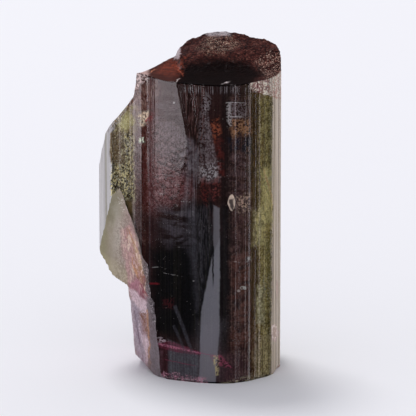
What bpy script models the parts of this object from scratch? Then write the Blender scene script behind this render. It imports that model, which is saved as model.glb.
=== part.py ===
"""An elbaite tourmaline crystal: one natural crystal, broken off at both ends and chipped on its left edge.

The crystal stands on its flat broken base, +Z up, with its front towards -Y. It is a rounded triangular
prism whose sides are ribbed lengthwise by narrow prism faces. Fractures then cut the prism: the base, the
termination, the break above the left shoulder, the scar down the left edge, and small chips.
All sizes below are in millimetres.
"""

import math
import random

import bmesh
import bpy
import numpy as np
from mathutils import Matrix, Vector, noise

MM = 0.001

# The prism seen from above: corners of its rounded plan, anticlockwise from the left edge along the front.
# The last value of each row is the width of a rib on the stretch that starts at that corner.
PLAN = [
    (-11.0, 9.3, 0.9),
    (-9.4, 6.9, 0.9),
    (-6.4, 4.5, 0.8),
    (-4.1, 2.7, 3.0),
    (-0.6, 0.85, 0.75),
    (1.3, 0.25, 1.3),
    (3.2, 0.0, 1.2),
    (6.1, 0.55, 0.9),
    (7.9, 1.6, 0.8),
    (9.4, 3.0, 0.8),
    (10.5, 4.7, 0.8),
    (11.0, 6.8, 1.2),
    (11.0, 9.6, 1.2),
    (10.5, 12.4, 1.2),
    (9.0, 14.8, 1.2),
    (6.2, 16.8, 1.2),
    (2.9, 17.8, 1.1),
    (0.0, 17.1, 1.4),
    (-3.4, 15.6, 1.4),
    (-7.0, 13.5, 1.2),
    (-9.9, 11.5, 0.9),
]
PLAN_CENTRE = (0.0, 8.9)

# Corners that wander along their side with height: corner number, then (height, shift towards the next corner).
TAPERS = {
    3: [(0, -0.3), (24, 0.0), (45, 0.2)],
    4: [(0, -1.2), (24, -0.8), (29, 0.1), (30, 0.2), (45, -2.9)],
    5: [(0, -0.9), (15, 0.5), (30, 0.0), (45, 0.3)],
    6: [(0, -0.1), (18, 0.6), (32, -0.4), (45, 0.0)],
    7: [(0, 0.0), (22, 0.5), (45, -0.3)],
}

# Prism faces of tourmaline meet at 30 degrees, so each rib is a pair of faces that far apart.
FACE_STEP = math.radians(30)
FACE_START = math.radians(2)
LEAST_RIB_SIDE = 0.12

# Heights at which the ribs are drawn, from below the base to above the termination.
LEVELS = [-1.0, 6.0, 12.0, 17.0, 21.0, 24.0, 27.0, 30.0, 34.0, 41.5]

# The termination: the height of its front rim, and how far it rises from there towards the back.
FRONT_HEIGHT = 37.1
TERRACE_RISE = [(0, 0), (4, 0.05), (7, 0.15), (9.6, 0.8), (11, 1.3), (13, 1.48), (16.5, 1.95), (18, 2.15)]
TERRACE_LEFT_FALL = 0.35
SHOULDER_LIFT = 0.5

SEED = 11


def bumps(point, scale, seed):
    """Smooth noise of about -1 to 1 at a point, with lumps about as wide as scale."""
    return noise.noise(Vector(point) / scale + Vector((seed * 7.3, seed * 3.1, seed * 5.7)))


def taper(corner, height):
    """How far a plan corner has wandered along its side at this height."""
    if corner not in TAPERS:
        return 0.0
    heights, shifts = zip(*TAPERS[corner])
    return float(np.interp(height, heights, shifts))


def corner_points(height):
    """The corners of the plan at this height."""
    points = [Vector((x, y)) for x, y, _ in PLAN]
    moved = []
    for i, point in enumerate(points):
        along = (points[(i + 1) % len(points)] - points[i - 1]).normalized()
        moved.append(point + along * taper(i, height))
    return moved


def rib_plan():
    """Each rib as (corner it starts from, share of the stretch where it starts and ends, crest share, crest height).

    A rib's two faces point in two of the crystal's face directions, so the slope of its stretch between
    those directions gives the place and the height of its crest.
    """
    rng = random.Random(SEED)
    points = corner_points(20.0)
    ribs = []
    for i, (_, _, width) in enumerate(PLAN):
        side = points[(i + 1) % len(points)] - points[i]
        count = max(1, round(side.length / width))
        cuts = [0.0]
        cuts += sorted((k + rng.uniform(-0.28, 0.28)) / count for k in range(1, count))
        cuts += [1.0]
        heading = math.atan2(side.y, side.x)
        past = (heading - FACE_START) % FACE_STEP
        for start, end in zip(cuts, cuts[1:]):
            chord = (end - start) * side.length
            first = chord * math.sin(FACE_STEP - past) / math.sin(FACE_STEP)
            first = min(max(first, LEAST_RIB_SIDE), chord - LEAST_RIB_SIDE)
            crest = first * math.cos(past) / chord
            crest = min(max(crest, 0.12), 0.88)
            ribs.append((i, start, end, crest, max(first * math.sin(past), 0.01) / chord))
    return ribs


def outline(height, ribs):
    """The ribbed outline of the prism at this height: a groove point and a crest point for each rib."""
    points = corner_points(height)
    ring = []
    for corner, start, end, crest, rise in ribs:
        here, after = points[corner], points[(corner + 1) % len(points)]
        side = after - here
        outward = Vector((side.y, -side.x))
        groove = here + side * start
        chord_share = end - start
        ring.append(groove)
        ring.append(groove + side * chord_share * crest + outward * chord_share * rise)
    return [p - Vector(PLAN_CENTRE) for p in ring]


def prism(name):
    """The unbroken prism, extruded level by level from its outline."""
    ribs = rib_plan()
    bm = bmesh.new()
    foot = [bm.verts.new((p.x, p.y, LEVELS[0])) for p in outline(LEVELS[0], ribs)]
    cap = bm.faces.new(foot)
    for height in LEVELS[1:]:
        ring = outline(height, ribs)
        extruded = bmesh.ops.extrude_face_region(bm, geom=[cap])
        if height != LEVELS[1]:
            bmesh.ops.delete(bm, geom=[cap], context="FACES_ONLY")
        cap = next(g for g in extruded["geom"] if isinstance(g, bmesh.types.BMFace))
        for vert, point in zip(cap.verts, ring):
            vert.co = (point.x, point.y, height)
    bmesh.ops.recalc_face_normals(bm, faces=bm.faces)
    return finish_mesh(name, bm)


def finish_mesh(name, bm):
    """An object in metres from a bmesh in millimetres."""
    bmesh.ops.scale(bm, vec=(MM, MM, MM), verts=bm.verts)
    mesh = bpy.data.meshes.new(name)
    bm.to_mesh(mesh)
    bm.free()
    obj = bpy.data.objects.new(name, mesh)
    bpy.context.scene.collection.objects.link(obj)
    return obj


def plane_height(point, through, facing, up):
    """How far above a point, along up, a plane lies: the plane through one point and facing one way."""
    return (Vector(through) - point).dot(Vector(facing)) / up.dot(Vector(facing))


def fracture(name, centre, facing, size, cell, reach, relief):
    """A cutter whose inner side is a broken surface.

    It is a grid over size, square to facing, with relief(point, facing) as its height above the grid's
    own plane. It reaches outwards past the crystal.
    """
    up = Vector(facing).normalized()
    across = Vector((0, 0, 1)).cross(up)
    across = across.normalized() if across.length > 0.01 else Vector((1, 0, 0))
    along = up.cross(across)
    place = Matrix.Translation(centre) @ Matrix((across, along, up)).transposed().to_4x4()
    bm = bmesh.new()
    counts = [max(2, round(s / cell)) for s in size]
    bmesh.ops.create_grid(bm, x_segments=counts[0], y_segments=counts[1], size=0.5)
    bmesh.ops.scale(bm, vec=(size[0], size[1], 1), verts=bm.verts)
    broken = list(bm.verts)
    extruded = bmesh.ops.extrude_face_region(bm, geom=list(bm.faces))
    outer = [g for g in extruded["geom"] if isinstance(g, bmesh.types.BMVert)]
    for vert in outer:
        vert.co.z = reach
    for vert in broken:
        vert.co.z = relief(place @ vert.co, up)
    bmesh.ops.dissolve_limit(bm, angle_limit=0.001, verts=outer, edges=[])
    bmesh.ops.transform(bm, matrix=place, verts=bm.verts)
    bmesh.ops.recalc_face_normals(bm, faces=bm.faces)
    obj = finish_mesh(name, bm)
    obj.hide_render = True
    obj.display_type = "WIRE"
    return obj


def smooth_share(value, low, high):
    """0 below low, 1 above high, and smooth in between."""
    share = min(max((value - low) / (high - low), 0.0), 1.0)
    return share * share * (3 - 2 * share)


def termination_relief(point, up):
    """The broken top: level in front, rough and rising at the back, with a lower shelf left of a step."""
    x, y = point.x + PLAN_CENTRE[0], point.y + PLAN_CENTRE[1]
    rough = smooth_share(y, 4.0, 9.0)
    terrace = float(np.interp(y, *zip(*TERRACE_RISE)))
    terrace -= TERRACE_LEFT_FALL * max(2.3 - x, 0.0) * smooth_share(y, 8.0, 14.0)
    terrace += (0.03 + 0.10 * rough) * bumps((x, y, 0), 2.4, 1) + 0.09 * rough * bumps((x, y, 0), 0.9, 2)
    shelf = 0.015 * y + SHOULDER_LIFT * smooth_share(-x, 2.0, 7.0) * smooth_share(7.0 - y, 0.0, 4.0)
    shelf += 0.05 * bumps((x, y, 0), 3.0, 3)
    line = -0.7 - 0.06 * y + 0.15 * math.sin(y * 0.9)
    right = smooth_share(x, line - 0.25, line + 0.25)
    return shelf + (terrace - shelf) * right


def termination():
    centre = Vector((0, 0, FRONT_HEIGHT))
    return fracture("cut_termination", centre, (0, 0, 1), (26, 22), 0.6, 8.0, termination_relief)


def shoulder_relief(point, up):
    """The break above the left shoulder: a steep wall under the top, a slope, and a steep foot.

    The wall and the slope meet in a hollow, so the crystal keeps what lies under either of them.
    """
    wall = plane_height(point, (-6.5, -4.2, 36.0), (-0.893, 0.42, 0.16), up)
    slope = plane_height(point, (-8.6, -2.8, 31.9), (-0.66, 0.36, 0.66), up)
    foot = plane_height(point, (-10.5, -0.7, 28.2), (-0.9, 0.3, 0.25), up)
    ripple = 0.12 * bumps(point, 2.2, 4) + 0.05 * bumps(point, 0.8, 5)
    return max(wall, min(slope, foot)) + ripple


def shoulder_break():
    centre = Vector((-8.5, -1.0, 32.5))
    return fracture("cut_shoulder", centre, (-0.80, 0.38, 0.46), (26, 26), 0.8, 14.0, shoulder_relief)


def scar_relief(point, up):
    """The scar down the left edge.

    A smooth plate faces the front and ends in a ragged lower edge. Nearer the front, a strip slants inwards
    and then runs straight down to the base. The plate and the strip meet in a hollow, and below the plate
    the left side is a wall.
    """
    plate = plane_height(point, (-8.5, -2.75, 22.9), (-0.549, -0.824, -0.140), up)
    plate_end = plane_height(point, (-10.9, 0.3, 13.7), (-0.83, 0.15, -0.56), up)
    plate_foot = plane_height(point, (-8.6, -0.8, 10.6), (-0.40, 0.10, -0.91), up)
    strip = plane_height(point, (-5.0, -5.4, 14.1), (-0.80, -0.585, -0.134), up)
    strip_low = plane_height(point, (-4.15, -5.95, 5.0), (-0.85, -0.52, 0.02), up)
    side = plane_height(point, (-7.05, -1.0, 6.0), (-0.98, 0.17, -0.10), up)
    bevel = plane_height(point, (-5.75, -3.0, 0.9), (-0.66, -0.10, -0.74), up)
    ripple = 0.10 * bumps(point, 2.4, 6) + 0.05 * bumps(point, 0.9, 7)
    ledge = min(plate, plate_end, plate_foot)
    body = min(max(strip, strip_low), side, bevel)
    return max(ledge, body) + ripple


def left_scar():
    centre = Vector((-8.0, -3.0, 11.5))
    return fracture("cut_scar", centre, (-0.88, -0.30, -0.37), (20, 32), 0.55, 12.0, scar_relief)


def chip(name, centre, facing, size, depth):
    """A shallow oval chip centred on the crystal's surface: a shell-shaped hollow inside size."""

    def relief(point, up):
        offset = point - Vector(centre)
        beside = math.hypot(offset.x, offset.y) / (size[0] / 2)
        above = offset.z / (size[1] / 2)
        return depth * (beside**2 + above**2 - 0.6) + 0.3 * depth * bumps(point, 0.8, 8)

    return fracture(name, Vector(centre), facing, size, 0.35, 3.0, relief)


def edge_chips():
    """Small chips: on the front and on the right edge, and broken corners round the base."""
    return [
        chip("cut_front_nick", (5.35, -8.48, 22.2), (-0.25, -0.96, 0.1), (1.7, 2.9), 0.22),
        chip("cut_right_edge", (10.86, -3.4, 9.0), (1.0, -0.35, 0.05), (3.2, 6.5), 0.16),
        chip("cut_right_nick", (10.45, -4.35, 5.0), (0.75, -0.65, 0.1), (1.8, 2.4), 0.22),
        chip("cut_base_right", (10.75, -3.0, 0.1), (0.80, -0.25, -0.55), (5.5, 3.2), 0.30),
        chip("cut_base_back", (5.5, 7.75, 0.3), (0.25, 0.75, -0.6), (7.5, 3.6), 0.35),
        chip("cut_base_front", (-3.9, -6.2, 0.1), (-0.45, -0.55, -0.70), (3.4, 2.4), 0.25),
    ]


def base():
    """The cutter for the base: a flat break at height 0."""
    return fracture("cut_base", Vector((0, 0, 0)), (0, 0, -1), (28, 26), 13.0, 4.0, lambda point, up: 0.0)


def crystal_material():
    """Dark red-brown tourmaline with a glassy lustre."""
    material = bpy.data.materials.new("tourmaline")
    material.use_nodes = True
    shader = material.node_tree.nodes["Principled BSDF"]
    shader.inputs["Base Color"].default_value = (0.085, 0.035, 0.025, 1)
    shader.inputs["Roughness"].default_value = 0.08
    shader.inputs["Metallic"].default_value = 0.0
    shader.inputs["IOR"].default_value = 1.63
    return material


def main():
    for obj in list(bpy.data.objects):
        bpy.data.objects.remove(obj)
    crystal = prism("elbaite_crystal")
    cutters = [base(), termination(), shoulder_break(), left_scar()] + edge_chips()
    for cutter in cutters:
        cut = crystal.modifiers.new(cutter.name, "BOOLEAN")
        cut.operation = "DIFFERENCE"
        cut.solver = "EXACT"
        cut.object = cutter
    crystal.data.materials.append(crystal_material())


main()
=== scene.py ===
"""An elbaite tourmaline crystal, standing on its broken base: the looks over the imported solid.

The crystal is one natural piece. Its outer millimetre is nearly clear, and the colour lies under it: a dark
red-brown and black heart that passes into olive at both sides. Sizes are in millimetres until a mesh is made.
"""

import itertools
import math

import bpy
import numpy as np
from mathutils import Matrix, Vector


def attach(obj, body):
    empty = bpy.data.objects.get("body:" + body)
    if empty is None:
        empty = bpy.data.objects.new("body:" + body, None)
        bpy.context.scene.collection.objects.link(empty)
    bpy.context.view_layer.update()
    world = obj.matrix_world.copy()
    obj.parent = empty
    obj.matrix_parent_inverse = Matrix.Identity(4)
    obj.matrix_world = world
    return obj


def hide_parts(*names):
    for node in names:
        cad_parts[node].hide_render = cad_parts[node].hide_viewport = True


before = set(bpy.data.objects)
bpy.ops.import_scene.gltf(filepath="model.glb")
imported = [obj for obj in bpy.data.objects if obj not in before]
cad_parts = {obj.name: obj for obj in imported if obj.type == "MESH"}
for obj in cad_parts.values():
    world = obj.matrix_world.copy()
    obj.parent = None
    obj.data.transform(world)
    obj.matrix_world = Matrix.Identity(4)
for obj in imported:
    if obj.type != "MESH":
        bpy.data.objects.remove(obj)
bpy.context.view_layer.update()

# The prism faces of the crystal.
# The real surface is clear glassy tourmaline, ribbed along its length by narrow faces that grew side by side.
# It is one closed mesh: a ribbed outline is carried up through levels, and its breaks are then cut out of it.

# Corners of the rounded plan, anticlockwise from the left edge along the front, and for the stretch that
# starts at each corner the width of its ribs and the two directions that a rib's faces look in, in degrees
# from the front, negative to the left.
PLAN = np.array([
    (-11.0, 9.3, 0.35, -64, -48),
    (-10.15, 8.05, 0.38, -66, -50),
    (-9.4, 6.9, 0.34, -50, -36.7),
    (-6.75, 4.85, 0.34, -31, -25),
    (-5.8, 4.35, 0.40, -46, -38.5),
    (-4.7, 3.35, 0.22, -58, -28),
    (-4.1, 2.7, 9.0, -28.5, -26),
    (-0.6, 0.85, 0.30, -21, -13),
    (1.3, 0.25, 9.0, -10, -8),
    (3.2, 0.0, 0.50, 1, 9),
    (5.36, 0.18, 0.5, 31, 34),
    (5.62, 0.34, 0.34, 20, 28),
    (7.0, 0.98, 0.5, 31, 36),
    (7.3, 1.18, 0.34, 39, 52),
    (9.4, 3.0, 0.34, 48, 68),
    (10.5, 4.7, 0.34, 66, 86),
    (11.0, 6.8, 0.50, 82, 98),
    (11.0, 9.6, 0.60, 92, 122),
    (10.5, 12.4, 0.60, 92, 122),
    (9.0, 14.8, 0.65, 122, 152),
    (6.2, 16.8, 0.70, 152, 182),
    (2.9, 17.8, 0.70, 182, 212),
    (0.0, 17.1, 0.70, 182, 212),
    (-3.4, 15.6, 0.65, 196, 226),
    (-7.0, 13.5, 0.60, 196, 226),
    (-9.9, 11.5, 0.50, 230, 260),
])
PLAN_CENTRE = np.array([0.0, 8.9])
# Corners that wander with height: their number, then heights, shifts to the right and shifts to the back.
WANDER = {
    6: ((0, 24, 45), (-0.2, 0.0, 0.1), (0.1, 0.0, -0.05)),
    7: (
        (0, 24, 26.4, 27.3, 30.2, 36.8, 45),
        (-1.1, -0.7, -0.42, 0.12, 0.30, -1.02, -2.6),
        (0.55, 0.35, 0.2, -0.05, -0.15, 0.53, 1.35),
    ),
    8: ((0, 15, 22, 45), (-0.1, 1.3, 1.75, 0.3), (0.13, -0.10, -0.20, 0.0)),
    9: ((0, 18, 22, 45), (0.35, 0.35, 0.0, 0.0), (0.0, 0.0, 0.0, 0.0)),
    10: ((0, 12, 22, 30, 45), (0.0, 0.10, -0.05, 0.08, 0.0), (0.0, 0.01, 0.0, 0.01, 0.0)),
    11: ((0, 12, 22, 30, 45), (0.0, 0.06, -0.05, 0.02, 0.0), (0.0, 0.0, -0.02, 0.0, 0.0)),
}
MIDDLE_HEIGHT = 20.0
# How far a rib's start may move, in rib widths, and how far a rib's faces may turn, in degrees.
RIB_SHIFT = 0.36
RIB_TURN = 5.0
CRYSTAL_TOP = 41.5
METRE = 0.001


def lumps(points, size, seed):
    """Value noise: a seeded random number from -1 to 1 at each corner of a cubic lattice with cells of that
    size, blended by share squared times (3 - 2 share) along each axis."""
    table = np.random.default_rng(seed).uniform(-1, 1, (32, 32, 32))
    cell = np.asarray(points, float) / size
    low = np.floor(cell).astype(int)
    share = cell - low
    share = share * share * (3 - 2 * share)
    total = np.zeros(cell.shape[:-1])
    for corner in itertools.product((0, 1), repeat=3):
        weight = np.prod(np.where(np.array(corner) == 1, share, 1 - share), axis=-1)
        i, j, k = np.moveaxis((low + corner) % 32, -1, 0)
        total += weight * table[i, j, k]
    return total


def plan_corners(heights, inset=0.0):
    """The corners at each height, as levels x corners x 2: each corner plus its wander, moved inwards by
    inset square to the line between its neighbours."""
    corners = PLAN[:, :2]
    chord = np.roll(corners, -1, axis=0) - np.roll(corners, 1, axis=0)
    chord /= np.linalg.norm(chord, axis=1)[:, None]
    inward = np.stack([-chord[:, 1], chord[:, 0]], axis=1)
    shift = np.zeros((len(heights), len(corners), 2))
    for number, (at, right, rear) in WANDER.items():
        shift[:, number, 0] = np.interp(heights, at, right)
        shift[:, number, 1] = np.interp(heights, at, rear)
    inset = (np.asarray(inset) * np.ones(len(corners)))[:, None] * inward
    return corners + shift + inset - PLAN_CENTRE


def ribbed_outline(heights):
    """The outline at each height, as levels x points x 2. On each stretch, a rib's groove lies on the chord
    and its crest where its two faces meet: for faces that turn by a and b from the chord, the first face is
    width * sin(b) / sin(a + b) wide, and its end stands sin(a) of that out of the chord. Each face of a row
    of ribs turns by up to RIB_TURN more or less."""
    corners = plan_corners(heights)
    mid = plan_corners(np.array([MIDDLE_HEIGHT]))[0]
    random = np.random.default_rng(11)
    parts = []
    for i, (_, _, width, left, right) in enumerate(PLAN):
        here, after = corners[:, i], corners[:, (i + 1) % len(PLAN)]
        side = mid[(i + 1) % len(PLAN)] - mid[i]
        length = np.hypot(*side)
        facing = math.degrees(math.atan2(side[1], side[0]))
        count = max(1, round(length / width))
        cuts = (np.arange(1, count) + random.uniform(-RIB_SHIFT, RIB_SHIFT, count - 1)) / count
        starts = np.concatenate([[0.0], cuts])
        chords = np.diff(np.concatenate([starts, [1.0]]))
        turns = random.uniform(-RIB_TURN, RIB_TURN, (2, count)) if count > 2 else np.zeros((2, count))
        a = np.radians(np.clip((facing - left + 180) % 360 - 180 + turns[0], 2, 40))
        b = np.radians(np.clip((right - facing + 180) % 360 - 180 + turns[1], 2, 40))
        first = chords * np.sin(b) / np.sin(a + b)
        along = np.stack([starts, starts + first * np.cos(a)], axis=1).ravel()
        out = np.stack([0 * starts, first * np.sin(a)], axis=1).ravel()
        reach = after - here
        normal = np.stack([reach[:, 1], -reach[:, 0]], axis=1)
        on_chord = here[:, None] + reach[:, None] * along[None, :, None]
        parts.append(on_chord + normal[:, None] * out[None, :, None])
    return np.concatenate(parts, axis=1)


def closed_tube(rings, heights):
    """Points and faces of rings of points at their heights: quads between rings, and one face at each end."""
    levels, count = rings.shape[:2]
    z = np.broadcast_to(np.asarray(heights, float)[:, None, None], (levels, count, 1))
    points = np.concatenate([rings, z], axis=2).reshape(-1, 3)
    grid = np.arange(levels * count).reshape(levels, count)
    here, after = grid[:-1], np.roll(grid, -1, axis=1)[:-1]
    above, beyond = grid[1:], np.roll(grid, -1, axis=1)[1:]
    quads = np.stack([here, after, beyond, above], axis=-1).reshape(-1, 4)
    return points, quads.tolist() + [grid[0, ::-1].tolist(), grid[-1].tolist()]


def made(name, points, faces, finishes, slot_index=0):
    """An object at the origin with a mesh of these points in millimetres, all of its faces in one slot."""
    mesh = bpy.data.meshes.new(name)
    mesh.from_pydata((np.asarray(points) * METRE).tolist(), [], faces)
    for finish in finishes:
        mesh.materials.append(finish)
    mesh.polygons.foreach_set("material_index", np.full(len(mesh.polygons), slot_index, np.int32))
    mesh.update()
    piece = bpy.data.objects.new(name, mesh)
    bpy.context.scene.collection.objects.link(piece)
    return piece


class Amount:
    """A number that varies over a surface. It wraps a socket, and + - * / with numbers or other amounts add
    Math nodes."""

    def __init__(self, finish, socket):
        self.finish, self.socket = finish, socket

    def maths(self, operation, first, second=None):
        inputs = {0: first} if second is None else {0: first, 1: second}
        return self.finish.node("ShaderNodeMath", {"operation": operation}, inputs)

    def __add__(self, other):
        return self.maths("ADD", self, other)

    def __sub__(self, other):
        return self.maths("SUBTRACT", self, other)

    def __rsub__(self, other):
        return self.maths("SUBTRACT", other, self)

    def __mul__(self, other):
        return self.maths("MULTIPLY", self, other)

    def __truediv__(self, other):
        return self.maths("DIVIDE", self, other)

    def __rtruediv__(self, other):
        return self.maths("DIVIDE", other, self)

    def __abs__(self):
        return self.maths("ABSOLUTE", self)

    __radd__ = __add__
    __rmul__ = __mul__

    def most(self, other):
        return self.maths("MAXIMUM", self, other)

    def least(self, other):
        return self.maths("MINIMUM", self, other)

    def rise(self, low, high):
        """0 at low, 1 at high, smooth between. low may be the larger."""
        spread = {"interpolation_type": "SMOOTHSTEP", "clamp": True}
        if low > high:
            return 1 - self.finish.node("ShaderNodeMapRange", spread, {0: self, 1: high, 2: low})
        return self.finish.node("ShaderNodeMapRange", spread, {0: self, 1: low, 2: high})


# A drawing's planes pass the front of the crystal, this far before its middle, at their own height, and fall
# by this much per millimetre towards the back.
SHEET_FRONT = 8.65
SHEET_DIP = 0.268


class Finish:
    """A material under construction."""

    def __init__(self, name):
        self.material = bpy.data.materials.new(name)
        self.material.use_nodes = True
        self.tree = self.material.node_tree
        self.tree.nodes.clear()
        self.out = self.tree.nodes.new("ShaderNodeOutputMaterial")

    def node(self, kind, settings, inputs, output=0):
        """A node of this kind. Its settings are set first, a ramp's stops among them, then its sockets."""
        node = self.tree.nodes.new(kind)
        for name, value in settings.items():
            if name == "stops":
                ramp = node.color_ramp
                while len(ramp.elements) < len(value):
                    ramp.elements.new(0.5)
                for element, (place, colour) in zip(ramp.elements, value):
                    element.position, element.color = place, (*colour, 1)
            else:
                setattr(node, name, value)
        for key, value in inputs.items():
            if isinstance(value, Amount):
                self.tree.links.new(value.socket, node.inputs[key])
            elif isinstance(value, tuple) and node.inputs[key].type == "RGBA":
                node.inputs[key].default_value = (*value, 1)
            else:
                node.inputs[key].default_value = value
        return Amount(self, node.outputs[output])

    def place(self):
        """The three Object coordinates, in millimetres."""
        where = self.node("ShaderNodeTexCoord", {}, {}, "Object")
        where = self.node("ShaderNodeVectorMath", {"operation": "SCALE"}, {0: where, "Scale": 1 / METRE})
        return [self.node("ShaderNodeSeparateXYZ", {}, {0: where}, axis) for axis in range(3)]

    def vector(self, operation, first, second=None, third=None, output=0):
        inputs = {0: first} if second is None else {0: first, 1: second}
        if third is not None:
            inputs[2] = third
        return self.node("ShaderNodeVectorMath", {"operation": operation}, inputs, output)

    def lattice(self, size, seed):
        """Object coordinates counted in cells of size millimetres along X, Y and Z, moved on by the seed."""
        where = self.node("ShaderNodeTexCoord", {}, {}, "Object")
        per_metre = tuple(1 / (METRE * side) for side in size)
        return self.vector("MULTIPLY_ADD", where, per_metre, (seed * 3.7, seed * 1.9, seed * 2.3))

    def noise(self, size, seed, detail=2.0, roughness=0.5, distortion=0.0, output=0):
        """Noise of 0 to 1 with lumps of size millimetres along X, Y and Z."""
        inputs = {"Vector": self.lattice(size, seed), "Scale": 1.0}
        inputs.update({"Detail": detail, "Roughness": roughness, "Distortion": distortion})
        return self.node("ShaderNodeTexNoise", {}, inputs, output)

    def cells(self, size, seed, output="Distance"):
        """Voronoi cells of size millimetres along X, Y and Z."""
        inputs = {"Vector": self.lattice(size, seed), "Scale": 1.0}
        return self.node("ShaderNodeTexVoronoi", {}, inputs, output)

    def grains(self, size, seed):
        """One random value of 0 to 1 for each Voronoi cell."""
        return self.vector("DOT_PRODUCT", self.cells(size, seed, "Color"), (1.0, 0.0, 0.0), output=1)

    def gravel(self, size, lump, seed):
        """Grains of size millimetres that crowd together in lumps: values around a half."""
        return self.grains(size, seed) * 0.56 + self.noise(lump, seed, detail=4.0) * 0.8 - 0.18

    def sheet(self, *sways):
        """One vector for drawing on: X, 0 and the height on planes that dip to the back by 15 degrees, in
        millimetres. Each sway is a lump size and a distance that noise moves the drawing by."""
        x, y, z = self.place()
        where = self.node("ShaderNodeCombineXYZ", {}, {0: x, 2: z + (y + SHEET_FRONT) * SHEET_DIP})
        for seed, (size, sway) in enumerate(sways):
            noise = self.noise((size, size, size), seed + 20, output=1)
            where = self.vector("MULTIPLY_ADD", noise, (sway, 0.0, sway), where)
            where = self.vector("SUBTRACT", where, (sway / 2, 0.0, sway / 2))
        return where

    def inside(self, where, corners, soft):
        """1 inside a convex shape on the sheet, 0 outside. The corners run clockwise, seen from the front."""
        depth = None
        for (x1, z1), (x2, z2) in zip(corners, corners[1:] + corners[:1]):
            length = math.hypot(x2 - x1, z2 - z1)
            inward = ((z2 - z1) / length, 0.0, -(x2 - x1) / length)
            edge = self.vector("DOT_PRODUCT", where, inward, output=1) - (x1 * inward[0] + z1 * inward[2])
            depth = edge if depth is None else depth.least(edge)
        return depth.rise(-soft, soft)

    def line(self, where, start, end, width):
        """1 on a straight line on the sheet, which thins out to its end."""
        (x1, z1), (x2, z2) = start, end
        length = math.hypot(x2 - x1, z2 - z1)
        right, up = (x2 - x1) / length, (z2 - z1) / length
        run = self.vector("DOT_PRODUCT", where, (right, 0.0, up), output=1) - (x1 * right + z1 * up)
        off = self.vector("DOT_PRODUCT", where, (-up, 0.0, right), output=1) - (z1 * right - x1 * up)
        beam = abs(off).rise(width * 0.75, width * 0.25)
        return beam * run.rise(-0.1, 0.1) * run.rise(length, length * 0.6)

    def spot(self, where, centre, radii, soft=0.5):
        """1 in an oval on the sheet, 0 outside. soft is the share of the radius over which it fades."""
        off = self.vector("SUBTRACT", where, (centre[0], 0.0, centre[1]))
        off = self.vector("MULTIPLY", off, (1 / radii[0], 0.0, 1 / radii[1]))
        return self.vector("LENGTH", off, output=1).rise(1 + soft / 2, 1 - soft / 2)

    def zones(self, value, stops):
        """A colour for each stop's millimetre along the value, blended between stops."""
        low, high = stops[0][0], stops[-1][0]
        shares = [((at - low) / (high - low), colour) for at, colour in stops]
        return self.ramp((value - low) / (high - low), shares)

    def mix(self, share, first, second, blend="MIX"):
        """first where share is 0, second where it is 1."""
        settings = {"data_type": "RGBA", "blend_type": blend}
        return self.node("ShaderNodeMix", settings, {0: share, 6: first, 7: second}, 2)

    def paint(self, colour, form, sheet, marks, over=1.0):
        """Lays marks over a colour in their order. A mark holds what its form needs after the sheet, then its
        share, which is multiplied by over, and its colour."""
        for *outline, share, mark_colour in marks:
            colour = self.mix(form(sheet, *outline) * (share * over), colour, mark_colour)
        return colour

    def ramp(self, value, stops):
        return self.node("ShaderNodeValToRGB", {"stops": stops}, {0: value})

    def bump(self, height, millimetres, strength=1.0, under=None):
        inputs = {"Strength": strength, "Distance": millimetres * METRE, "Height": height}
        if under is not None:
            inputs["Normal"] = under
        return self.node("ShaderNodeBump", {}, inputs)

    def finished(self, shader, volume=None):
        self.tree.links.new(shader.socket, self.out.inputs["Surface"])
        if volume is not None:
            self.tree.links.new(volume.socket, self.out.inputs["Volume"])
        return self.material


LIGHT_ON_FRONT = 0.80


def linear(screen):
    """A screen value of 0 to 255 as light of 0 to 1: a straight line near black, then the power 2.4."""
    share = screen / 255
    return share / 12.92 if share <= 0.04045 else ((share + 0.055) / 1.055) ** 2.4


def shade(*screen):
    """The colour of a surface that looks like this screen colour: its light divided by that on the front."""
    return tuple(min(linear(value) / LIGHT_ON_FRONT, 1.0) for value in screen)


def box(left, right, low, high):
    """The corners of an upright rectangle on the sheet, clockwise from its upper left."""
    return [(left, high), (right, high), (right, low), (left, low)]


LEFT_GOLD = [(-9.36, 31.87), (-6.66, 31.37), (-6.66, 22.93), (-9.36, 23.42)]
skin = Finish("clear_tourmaline")
skin_y = skin.place()[1]
skin_front = skin_y.rise(1.5, -0.5)
striae = skin.noise((0.16, 0.16, 26.0), 1, detail=3.0)
etching = skin.gravel((0.24, 0.24, 0.30), (0.6, 0.6, 0.8), 5)
skin_hair = skin.noise((0.16, 0.16, 40.0), 13, detail=3.0, roughness=0.6)
skin_gravel = skin.gravel((0.15, 0.15, 0.17), (0.7, 0.7, 0.8), 14)
skin_fleck = skin_gravel.rise(0.44, 0.58)
skin_light = skin_gravel.rise(0.56, 0.61) * skin_front
skin_dark = skin_gravel.rise(0.45, 0.40) * skin_front
skin_glints = skin.cells((0.36, 0.36, 0.36), 15).rise(0.30, 0.16) * skin_fleck
skin_sheet = skin.sheet((2.0, 0.7), (0.25, 0.2))
skin_sharp = skin.sheet((0.3, 0.08))
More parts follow.
